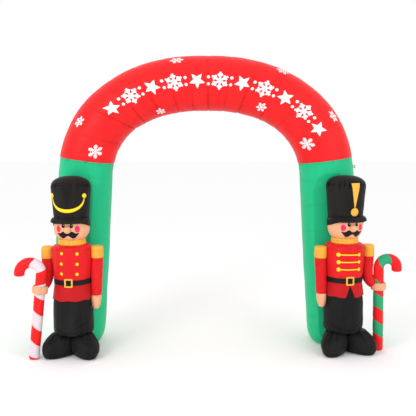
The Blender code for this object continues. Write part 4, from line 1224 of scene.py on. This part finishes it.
# Where one colour ends: distance from the foot along the cane, slant across it
CANE_STRIPES = {
    "left": ((0.021, 0.45), (0.139, 0.62), (0.260, 0.60), (0.384, 0.58), (0.5095, 0.45),
             (0.614, -0.30), (0.721, -0.10), (0.829, 0.45)),
    "right": ((0.129, 0.62), (0.241, 0.62), (0.358, 0.61), (0.473, 0.62), (0.536, 0.60),
              (0.583, 0.80), (0.722, 0.75), (0.836, -0.55)),
}
CANE_COLOURS = {"left": ("red", "white"), "right": ("red", "green")}
WHITE = (0.75, 0.63, 0.67)
white_polyester = polyester("white_polyester", WHITE, roughness=0.45, uneven=0.05)
cane_green = polyester("cane_green_polyester", CANE_GREEN, roughness=0.45)
cane_cloth = {"red": red_polyester, "white": white_polyester, "green": cane_green}
cane_turns = turns_round(CANE_COLUMNS)
for soldier in SOLDIERS:
    name, side = soldier["name"], soldier["side"]
    chance = luck(soldier, 7)
    foot_x, y = soldier["foot"]
    top_x, top_z = soldier["shaft_top"]
    radius = soldier["hook_r"]
    bow = np.linspace(0, math.pi, 60)
    route = [(foot_x, 0.0), (foot_x, 0.018), (foot_x + (top_x - foot_x) * 0.5, top_z * 0.5)]
    route += [(foot_x + (top_x - foot_x) * 0.97, top_z * 0.97)]
    route += list(zip(top_x + radius - radius * np.cos(bow), top_z + radius * np.sin(bow)))
    route += [(top_x + 2 * radius, soldier["hook_end"])]
    route = rounded(route, 0.003, passes=2)
    run = np.append(0, np.cumsum(np.linalg.norm(np.diff(route, axis=0), axis=1)))
    slopes = np.gradient(route, axis=0) * (side, 1)
    slopes /= np.linalg.norm(slopes, axis=1)[:, None]
    stripes = CANE_STRIPES[name]
    seams = [row[0] for row in stripes]
    rows = rows_by_seams(0.0, run[-1], seams, 0.006)
    slants = np.interp(rows, [0.0, 0.004] + seams + [run[-1] - 0.02, run[-1]],
                       [0.0, 0.05] + [row[1] for row in stripes] + [0.0, 0.0])
    calm = np.clip(np.minimum(rows, run[-1] - rows) / 0.045, 0, 1)
    across = CANE_R * np.sin(cane_turns)
    s = rows[:, None] - (slants * calm)[:, None] * across
    s = np.clip(s, 0, run[-1])
    drawn = np.zeros((len(rows), CANE_COLUMNS))
    for seam in seams:
        drawn += seam_pull(rows - seam, *STRIPE_PULL)
        drawn += puckers(cane_turns, CANE_R, rows - seam, *STRIPE_PUCKERS, chance)
    bent = hump(rows - top_z - 0.14, 0.14)
    inner = np.exp(-off_from(cane_turns, side * math.pi / 2) ** 2 / 0.5)
    first, last, pitch, half, depth = BEND_RIPPLES
    for place in np.arange(top_z + first, top_z + last, pitch):
        ripple = hump(rows - place + chance.uniform(-0.004, 0.004), half)
        drawn += depth * chance.uniform(0.4, 1) * ripple[:, None] * inner * bent[:, None]
    ends = np.minimum(rows, run[-1] - rows)
    share = np.interp(ends, [row[0] for row in CANE_END], [row[1] for row in CANE_END])
    dents = slack(cane_turns, rows, *CANE_SLACK, chance)
    reach = share[:, None] * (CANE_R - drawn - dents)
    centre = np.stack([np.interp(s, run, route[:, k]) for k in (0, 1)], axis=-1) * (side, 1)
    along = np.stack([np.interp(s, run, slopes[:, k]) for k in (0, 1)], axis=-1)
    grid = np.stack([
        centre[..., 0] + along[..., 1] * reach * np.sin(cane_turns),
        y - reach * np.cos(cane_turns),
        np.maximum(centre[..., 1] - along[..., 0] * reach * np.sin(cane_turns), 0.0),
    ], axis=-1)
    colours = [cane_cloth[colour] for colour in CANE_COLOURS[name]]
    piece = skin(name + "_cane", grid + soldier["place"], colours[0], drawn / CANE_DARKEST)
    piece.data.materials.append(colours[1])
    band = np.searchsorted(seams, (rows[:-1] + rows[1:]) / 2) % 2
    index = np.zeros(len(piece.data.polygons), dtype=np.int32)
    index[:len(band) * CANE_COLUMNS] = np.repeat(band, CANE_COLUMNS)
    index[-CANE_COLUMNS:] = len(seams) % 2
    piece.data.polygons.foreach_set("material_index", index)
    dress(piece, [f"soldier_{name}_cane"])
    soldier["cane_route"] = route


# Fists and bent sleeves
# The fist is a stuffed ring sewn round the cane. The sleeve comes forward to it from the shoulder,
# with its slack in the elbow.
FIST_HALF = (0.064, 0.058, 0.0305)
FIST_COLUMNS = 96
FIST_PUCKERS = (22, 0.0016, 0.02, 0.005)
FINGER_DEPTH = 0.0016
GRIP_ROOM = 0.0008
# Half height that the cuff keeps clear of the middle of the fist, and its clearance to the cane
CUFF_HALF = 0.034
CUFF_ROOM = 0.001
# Puckers at the top of the bent sleeve and at its cuff: how many, depth, reach, width
BENT_TOP_PUCKERS = (22, 0.0022, 0.030, 0.005)
BENT_CUFF_PUCKERS = (22, 0.0020, 0.020, 0.005)
ELBOW_CREASES = (0.125, 0.15, 0.172, 0.195)
ELBOW_CREASE_DEPTH = 0.003
FIST_DARKEST = 0.005
BENT_DARKEST = 0.006
SHOULDER_CUT_Z = 0.7997
# Distance from the axis, depth, height, radius
BENT_ARMS = {
    "left": (
        (0.2025, 0.000, 0.7997, 0.0495),
        (0.203, 0.002, 0.7200, 0.0495),
        (0.202, -0.012, 0.6550, 0.0480),
        (0.206, -0.040, 0.6120, 0.0450),
        (0.216, -0.070, 0.5860, 0.0410),
        (0.224, -0.094, 0.5760, 0.0360),
    ),
    "right": (
        (0.2025, 0.000, 0.7997, 0.0495),
        (0.200, 0.000, 0.7200, 0.0495),
        (0.196, 0.000, 0.6650, 0.0480),
        (0.202, -0.004, 0.6250, 0.0465),
        (0.224, -0.010, 0.5850, 0.0430),
        (0.248, -0.014, 0.5600, 0.0365),
    ),
}
fist_turns = turns_round(FIST_COLUMNS)
for soldier in SOLDIERS:
    side = soldier["side"]
    chance = luck(soldier, 8)
    foot_x, y = soldier["foot"]
    top_x, top_z = soldier["shaft_top"]
    z = soldier["fist_z"]
    grip_x = foot_x + (top_x - foot_x) * z / top_z
    lean = math.atan2(side * (top_x - foot_x), top_z)
    hub = np.array((side * grip_x, y, z))
    inner_r = CANE_R + GRIP_ROOM
    half_x, half_y = (FIST_HALF[0] - inner_r) / 2, (FIST_HALF[1] - inner_r) / 2
    loop = []
    for turn in np.linspace(0, 2 * math.pi, 41)[:-1]:
        out, up = math.cos(turn), math.sin(turn)
        swell = np.sign(out) * abs(out) ** 0.8
        reach_x = inner_r + half_x * (1 + swell)
        reach_y = inner_r + half_y * (1 + swell)
        high = FIST_HALF[2] * np.sign(up) * abs(up) ** 0.75
        loop.append(np.column_stack([reach_x * np.sin(fist_turns), -reach_y * np.cos(fist_turns),
                                     np.full(FIST_COLUMNS, high)]))
    grid = np.array(loop)
    fingers = FINGER_DEPTH * (1 + np.cos(4 * math.pi * (grid[..., 2] / FIST_HALF[2])))
    front = np.clip(np.cos(fist_turns), 0, 1) ** 2
    away = np.hypot(grid[..., 0], grid[..., 1])
    sink = np.clip((away - CANE_R - 0.006) / 0.01, 0, 1) * front * fingers * 0.5
    pucker = puckers(fist_turns, 0.05, np.zeros(1), *FIST_PUCKERS, chance)[0]
    sink = sink + np.clip((away - CANE_R - 0.003) / 0.008, 0, 1) * pucker * (
        0.3 + 0.7 * abs(grid[..., 2]) / FIST_HALF[2])
    grid[..., :2] *= ((away - sink) / away)[..., None]
    turned = grid.copy()
    turned[..., 0] = grid[..., 0] * math.cos(lean) + grid[..., 2] * math.sin(lean)
    turned[..., 2] = -grid[..., 0] * math.sin(lean) + grid[..., 2] * math.cos(lean)
    sew_on(soldier, "fist", turned + hub + soldier["place"], skin_polyester,
           sink / FIST_DARKEST, endless=True)

    path = rounded(BENT_ARMS[soldier["name"]], 0.005)
    stops = path[:, :3] * (side, 1, 1)
    heading = np.gradient(stops, axis=0)
    heading[0] = (0, 0, -1)
    heading /= np.linalg.norm(heading, axis=1)[:, None]
    across = np.cross((0, 1, 0), heading)
    across /= np.linalg.norm(across, axis=1)[:, None]
    deep = np.cross(heading, across)
    run = np.append(0, np.cumsum(np.linalg.norm(np.diff(stops, axis=0), axis=1)))
    drawn = puckers(ARM_TURNS, 0.05, run, *BENT_TOP_PUCKERS, chance)
    drawn += puckers(ARM_TURNS, 0.05, run - run[-1], *BENT_CUFF_PUCKERS, chance)
    elbow = hump(run - 0.16, 0.05)[:, None] * hump(off_from(ARM_TURNS, 1.5 * math.pi), 1)
    for place in ELBOW_CREASES:
        drawn += ELBOW_CREASE_DEPTH * hump(run - place, 0.006)[:, None] * elbow
    reach = path[:, 3][:, None] - drawn
    grid = (stops[:, None] + across[:, None] * (reach * np.cos(ARM_TURNS))[..., None]
            + deep[:, None] * (reach * np.sin(ARM_TURNS))[..., None])
    grid = beside_tunic(grid, side)
    grid[..., 2] = np.minimum(grid[..., 2], SHOULDER_CUT_Z)
    grid = turned_by(grid, side * soldier["body_turn"])
    local = grid - hub
    half = np.array((FIST_HALF[0], FIST_HALF[1], CUFF_HALF)) + GAP
    depth_in = np.linalg.norm(local / half, axis=-1)
    push = np.where(depth_in < 1, 1 / np.maximum(depth_in, 0.35), 1)
    grid = hub + local * push[..., None]
    route = soldier["cane_route"]
    order = np.argsort(route[:len(route) // 2, 1])
    axis_x = side * np.interp(grid[..., 2], route[order, 1], route[order, 0])
    off = np.stack([grid[..., 0] - axis_x, grid[..., 1] - y], axis=-1)
    away = np.maximum(np.linalg.norm(off, axis=-1), 1e-6)
    grid[..., :2] += off * (np.maximum(CANE_R + CUFF_ROOM - away, 0) / away)[..., None]
    sew_on(soldier, "sleeve_bent", grid + soldier["place"], tunic_red,
           drawn / BENT_DARKEST)


# Head and face
# The head is a skin-coloured tube drawn in to the collar. Eyes and cheeks are printed, the nose
# is a stuffed ball, and hair and moustache are black patches sewn on flat.
HEAD = (
    (0.9603, 0.1035, 0.1055),
    (0.9700, 0.113, 0.115),
    (0.9850, 0.125, 0.127),
    (1.0050, 0.135, 0.137),
    (1.0300, 0.142, 0.144),
    (1.0650, 0.145, 0.146),
    (1.1147, 0.143, 0.145),
)
# Distance round from the front, height
EYES = ((-0.0325, 1.0790), (0.0325, 1.0790))
EYE_HALF = (0.0155, 0.0135)
# Shine in an eye: distance round and up from its middle, radius
EYE_SHINE = (0.0030, 0.0060, 0.0028)
CHEEKS = ((-0.0785, 1.0530), (0.0785, 1.0530))
CHEEK_HALF = (0.0270, 0.0215)
NOSE_HALF = (0.030, 0.034, 0.031)
NOSE_Z = 1.050
# Distance from the middle, height of the midline, half height
MOUSTACHE = (
    (0.000, 1.0085, 0.0080),
    (0.010, 1.0085, 0.0120),
    (0.020, 1.0080, 0.0195),
    (0.034, 1.0070, 0.0290),
    (0.048, 1.0035, 0.0255),
    (0.060, 1.0030, 0.0180),
    (0.072, 1.0080, 0.0110),
    (0.084, 1.0155, 0.0055),
    (0.093, 1.0200, 0.0020),
)
# Hair: degrees from the face, height of the lower edge
HAIR_EDGE = (
    (45, 1.093), (60, 1.083), (75, 1.070), (90, 1.062), (105, 1.055), (120, 0.985),
    (150, 0.975), (180, 0.974),
)
HAIR_TOP = 1.1145
HAIR_UNDER_VISOR = 1.0972
HAIR_LIFT = 0.0012
HAIR_THICK = 0.0026
HAIR_ROOM = 0.0090
HEAD_PUCKERS = (
    (0.9620, 0.12, 46, 0.0028, 0.016, 0.007),
    (1.1140, 0.14, 30, 0.0016, 0.020, 0.008),
)
# Puckers at the back of the nose, counted in degrees: how many, depth, reach, width
NOSE_PUCKERS = (18, 0.0022, 22.0, 0.004)
NOSE_R = 0.03
NOSE_DARKEST = 0.004
HEAD_SLACK = (0.12, 0.0006)
HEAD_DARKEST = 0.006
# Printed face: clearance, thickness
EYE_PRINT = (0.0006, 0.0014)
SHINE_PRINT = (0.0020, 0.0006)
CHEEK_PRINT = (0.0006, 0.0010)
VISOR_HALF_ANGLE = math.radians(76)
PINK_INK = (0.80, 0.035, 0.125)
BLACK_INK = (0.004, 0.004, 0.005)
pink_ink = polyester("pink_ink", PINK_INK, roughness=0.55, uneven=0.05)
black_ink = polyester("black_ink", BLACK_INK, roughness=0.5, uneven=0.05, weave=0.2, shine=0.06)
for soldier in SOLDIERS:
    chance = luck(soldier, 9)
    rows = rounded(HEAD, 0.004)
    z = rows[:, 0]
    drawn = gathers(TURNS, z, HEAD_PUCKERS, chance)
    dents = slack(TURNS, z, *HEAD_SLACK, chance)
    grid = stand(column(rows, drawn + dents), soldier, "head_turn", HAIR_ROOM)
    find = spot_finder(grid, z, TURNS, rows[:, 1])
    sew_on(soldier, "head", grid, skin_polyester, drawn / HEAD_DARKEST)
    eyes = [disc(find, height, along, *EYE_HALF, *EYE_PRINT) for along, height in EYES]
    print_on(soldier, "eyes", eyes, black_ink)
    aside, above, radius = EYE_SHINE
    shine = [disc(find, height + above, along + aside, radius, radius, *SHINE_PRINT, sides=12)
             for along, height in EYES]
    print_on(soldier, "eye_shine", shine, white_ink)
    cheeks = [disc(find, height, along, *CHEEK_HALF, *CHEEK_PRINT) for along, height in CHEEKS]
    print_on(soldier, "cheeks", cheeks, pink_ink)

    angle = np.linspace(0, math.pi, 25)[1:-1]
    ball = np.array([np.column_stack([
        NOSE_HALF[0] * math.sin(a) * np.sin(fist_turns),
        np.full(FIST_COLUMNS, -NOSE_HALF[1] * math.cos(a)),
        NOSE_HALF[2] * math.sin(a) * np.cos(fist_turns)]) for a in angle])
    pucker = puckers(fist_turns, NOSE_R, np.degrees(angle) - 88, *NOSE_PUCKERS, chance)
    deep = np.interp(NOSE_Z, [r[0] for r in HEAD], [r[2] for r in HEAD])
    ball = ball * (1 - pucker / NOSE_R)[..., None] + (0.0, -deep, NOSE_Z)
    ball[..., 1] = np.minimum(ball[..., 1], -np.sqrt(np.clip(
        1 - (ball[..., 0] / deep) ** 2, 0, 1)) * (deep + 0.0004))
    sew_on(soldier, "nose", stand(ball, soldier, "head_turn"), skin_polyester,
           pucker / NOSE_DARKEST)

    table = np.array(MOUSTACHE)
    across = np.linspace(-0.092, 0.092, 61)[:, None]
    mid_z = np.interp(abs(across), table[:, 0], table[:, 1])
    halves = np.interp(abs(across), table[:, 0], table[:, 2])
    shares = np.linspace(-1, 1, 11)
    up = mid_z + halves * shares
    dome = 0.0012 + 0.0040 * np.sqrt(np.clip(1 - shares ** 2, 0.0, 1)) * np.minimum(
        halves / 0.012, 1)
    strands = 0.0006 * np.cos(shares * 14)
    patch = np.concatenate([find(up, across, 0.0004), find(up, across, dome + strands)[:, ::-1]],
                           axis=1)
    sew_on(soldier, "moustache", patch, black_polyester)

    angle = np.radians(np.linspace(45, 315, 181))
    from_front = np.degrees(np.minimum(angle, 2 * math.pi - angle))
    low = np.interp(from_front, *np.array(HAIR_EDGE).T)
    high = np.where(np.radians(from_front) < VISOR_HALF_ANGLE, HAIR_UNDER_VISOR, HAIR_TOP)
    loops = []
    for share, thick in [(s, 0.0) for s in np.linspace(0, 1, 16)] + [
            (s, HAIR_THICK) for s in np.linspace(1, 0, 16)]:
        height = low + (high - low) * share
        loops.append(find(height, angle * np.interp(height, z, rows[:, 1]), HAIR_LIFT + thick))
    hair = np.array(loops).transpose(1, 0, 2)
    hair[..., 1] = np.minimum(hair[..., 1], press_at(soldier["side"], hair[..., 2]) - GAP)
    sew_on(soldier, "hair", hair, black_polyester)


# Hats
# A tall black drum with a domed top panel. The cloth puckers along the top seam. A padded half
# round peak is sewn in above the face, and a flat badge on the front: a chain or a plume.
HAT = (
    (1.1150, 0.1415, 0.1435),
    (1.1600, 0.1435, 0.1455),
    (1.2500, 0.1500, 0.1515),
    (1.3300, 0.1570, 0.1580),
    (1.3800, 0.1610, 0.1620),
    (1.4050, 0.1560, 0.1570),
    (1.4280, 0.1400, 0.1410),
    (1.4500, 0.1050, 0.1060),
    (1.4610, 0.0660, 0.0670),
    (1.4630, 0.0300, 0.0300),
    (1.4632, 0.0150, 0.0150),
)
HAT_SEAM_Z = 1.395
HAT_PUCKERS = (HAT_SEAM_Z, 0.16, 46, 0.0080, 0.026, 0.0055)
HATBAND_PUCKERS = (1.1350, 0.15, 40, 0.0030, 0.024, 0.009)
HAT_PULL = (0.003, 0.004)
HAT_SLACK = (0.30, 0.0012)
HAT_STITCH = (0.009, 0.0055)
HAT_DARKEST = 0.010
HAT_BLACK = (0.0140, 0.0120, 0.0120)
ORANGE_INK = (0.86, 0.34, 0.015)
# Peak: share of its full reach, height, going round its padded section
VISOR_SECTION = (
    (0.00, 1.138), (0.45, 1.134), (0.85, 1.121), (1.00, 1.106),
    (0.88, 1.098), (0.45, 1.103), (0.00, 1.109),
)
VISOR_REACH = 0.036
VISOR_Z = 1.16
VISOR_DENTS = 26
SWAG_HALF_SPAN = 0.148
SWAG_END_Z = 1.306
SWAG_DROP = 0.108
SWAG_HALF_WIDTH = 0.0135
SWAG_BALL_R = 0.019
SWAG_EDGE_HALF_WIDTH = 0.0022
# Badges: clearance, thickness
SWAG_PATCH = (0.0010, 0.0032)
SWAG_EDGE_PRINT = (0.0012, 0.0024)
SWAG_BALL_PATCH = (0.0010, 0.0075)
PLUME_PATCH = (0.0010, 0.0030)
PLUME_BALL_PATCH = (0.0010, 0.0080)
# The plume stands a little to the right of the hat's front
PLUME_ALONG = 0.0095
PLUME_TOP = 1.4100
PLUME_TIP = 1.2150
PLUME_HALF_WIDTH = 0.0365
PLUME_TIP_HALF_WIDTH = 0.004
PLUME_BALL_Z = 1.180
PLUME_BALL_R = 0.033
orange_ink = polyester("orange_ink", ORANGE_INK, roughness=0.5, uneven=0.05)
# Strong painted sheen bands and full black painted shade in the puckers, for the hat and its peak
hat_polyester = polyester("hat_polyester", HAT_BLACK, roughness=0.5, uneven=0.7,
                          crease_shade_strength=1.0, shine=0.06)
for soldier in SOLDIERS:
    side = soldier["side"]
    chance = luck(soldier, 12)
    rows = rounded(HAT, 0.005)
    z = rows[:, 0]
    drawn = gathers(TURNS, z, (HAT_PUCKERS,), chance)
    drawn += seam_pull(z - HAT_SEAM_Z, *HAT_PULL)
    drawn += gathers(TURNS, z, (HATBAND_PUCKERS,), chance)
    dents = slack(TURNS, z, *HAT_SLACK, chance)
    fade = np.clip((rows[:, 1] - 0.02) / 0.08, 0, 1)[:, None]
    grid = stand(column(rows, (drawn + dents) * fade), soldier, "head_turn")
    find = spot_finder(grid, z, TURNS, rows[:, 1])
    sew_on(soldier, "hat", grid, hat_polyester, drawn / HAT_DARKEST)
    line = np.linspace(0, 2 * math.pi * np.interp(HAT_SEAM_Z, z, rows[:, 1]), 300)
    stitches = thread_row(find, line * 0 + HAT_SEAM_Z - STITCH_OFF_SEAM, line, *HAT_STITCH)
    stitching(soldier["name"] + "_hat_stitches", [stitches], black_thread)

    section = np.array(VISOR_SECTION) * (VISOR_REACH, 1)
    share, height = (rounded(section, 0.003, passes=2) / (VISOR_REACH, 1)).T
    angle = np.linspace(-1, 1, 90) * VISOR_HALF_ANGLE
    wide, deep = (np.interp(VISOR_Z, [r[0] for r in HAT], [r[k] for r in HAT]) for k in (1, 2))
    bulge = np.sqrt(np.clip(1 - (angle / VISOR_HALF_ANGLE) ** 4, 0, 1))
    reach = VISOR_REACH * (0.15 + 0.85 * bulge)
    dent = np.zeros(len(angle))
    for _ in range(VISOR_DENTS):
        spot = chance.uniform(-1, 1) * VISOR_HALF_ANGLE
        dent += chance.uniform(0, 1) * hump(angle - spot, 0.05)
    dent = dent[:, None] * share
    out = 0.0007 + share * reach[:, None] - 0.0016 * dent
    peak = np.stack([(wide + out) * np.sin(angle)[:, None], -(deep + out) * np.cos(angle)[:, None],
                     height - 0.0014 * dent], axis=-1)
    sew_on(soldier, "visor", stand(peak, soldier, "head_turn"), hat_polyester)

    if side < 0:
        sweep = 0.94 * math.pi * np.linspace(-0.5, 0.5, 61)
        halves = SWAG_HALF_WIDTH * (1 - 0.75 * abs(np.linspace(-1, 1, 61)) ** 1.6)
        middle = np.column_stack([SWAG_END_Z - SWAG_DROP * np.cos(sweep),
                                  SWAG_HALF_SPAN * np.sin(sweep)])
        chain = ribbon(find, middle, halves, *SWAG_PATCH, lanes=8)
        sew_on(soldier, "swag", chain, yellow_polyester)
        edge = ribbon(find, middle - (1, 0) * (halves * 0.96)[:, None],
                      halves * (SWAG_EDGE_HALF_WIDTH / SWAG_HALF_WIDTH), *SWAG_EDGE_PRINT,
                      lanes=3)
        print_on(soldier, "swag_edge", edge, orange_ink)
        for label, end in (("inner", -side), ("outer", side)):
            ball = disc(find, SWAG_END_Z + SWAG_BALL_R / 2, end * SWAG_HALF_SPAN, SWAG_BALL_R,
                        SWAG_BALL_R, *SWAG_BALL_PATCH)
            sew_on(soldier, "swag_ball_" + label, ball, yellow_polyester)
    else:
        heights = np.linspace(PLUME_TIP, PLUME_TOP, 40)
        halves = np.interp(heights, (PLUME_TIP, PLUME_TOP),
                           (PLUME_TIP_HALF_WIDTH, PLUME_HALF_WIDTH))
        middle = np.column_stack([heights, 0 * heights + PLUME_ALONG])
        plume = ribbon(find, middle, halves, *PLUME_PATCH, lanes=10)
        sew_on(soldier, "plume", plume, gold_polyester)
        ball = disc(find, PLUME_BALL_Z, PLUME_ALONG, PLUME_BALL_R, PLUME_BALL_R,
                    *PLUME_BALL_PATCH)
        sew_on(soldier, "plume_ball", ball, gold_polyester)


# Studio
# A plain pale floor that runs back out of sight, soft panels of light from both sides and above,
# and the camera where the photograph was taken from.
FLOOR_HALF = 30
FLOOR_Z = -0.0005
PALE = (0.97, 0.97, 0.97, 1)
# Light panels: place, size, power
PANELS = (
    ((-3.4, -4.4, 3.6), 2.2, 95),
    ((3.6, -3.8, 3.0), 2.4, 45),
)
PANELS_AIM = Vector((0, 0, 1.1))
CAMERA_PLACE = (-0.029, -5.778, 1.868)
CAMERA_DOWN = math.radians(6.76)
CAMERA_LENS = 60.58
paper = bpy.data.materials.new("pale_floor")
paper.use_nodes = True
paper.node_tree.nodes["Principled BSDF"].inputs["Base Color"].default_value = PALE
paper.node_tree.nodes["Principled BSDF"].inputs["Roughness"].default_value = 0.9
floor_mesh = bpy.data.meshes.new("floor")
floor_mesh.from_pydata([(x * FLOOR_HALF, y * FLOOR_HALF, FLOOR_Z)
                        for x, y in ((-1, -1), (1, -1), (1, 1), (-1, 1))], [], [(0, 1, 2, 3)])
floor_mesh.materials.append(paper)
put_in_scene("floor", floor_mesh)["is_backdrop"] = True

world = bpy.data.worlds.new("studio")
world.use_nodes = True
world.node_tree.nodes["Background"].inputs["Color"].default_value = (1.0, 1.0, 1.0, 1)
world.node_tree.nodes["Background"].inputs["Strength"].default_value = 1.0
bpy.context.scene.world = world
for i, (place, size, power) in enumerate(PANELS):
    light = bpy.data.lights.new(f"panel_{i}", "AREA")
    light.size = size
    light.energy = power
    lamp = put_in_scene(f"panel_{i}", light)
    lamp.location = place
    lamp.rotation_euler = (PANELS_AIM - Vector(place)).to_track_quat("-Z", "Y").to_euler()
bpy.context.scene.view_settings.view_transform = "Standard"

lens = bpy.data.cameras.new("camera")
lens.lens = CAMERA_LENS
lens.sensor_width = 36.0
lens.dof.use_dof = False
camera = put_in_scene("camera", lens)
camera.location = CAMERA_PLACE
camera.rotation_euler = (math.pi / 2 - CAMERA_DOWN, 0.0, 0.0)
bpy.context.scene.camera = camera

bpy.context.view_layer.update()
({name: [[float(v) for v in corner] for corner in box]
           for name, box in (("cad", cad_box), ("visual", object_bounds()))})
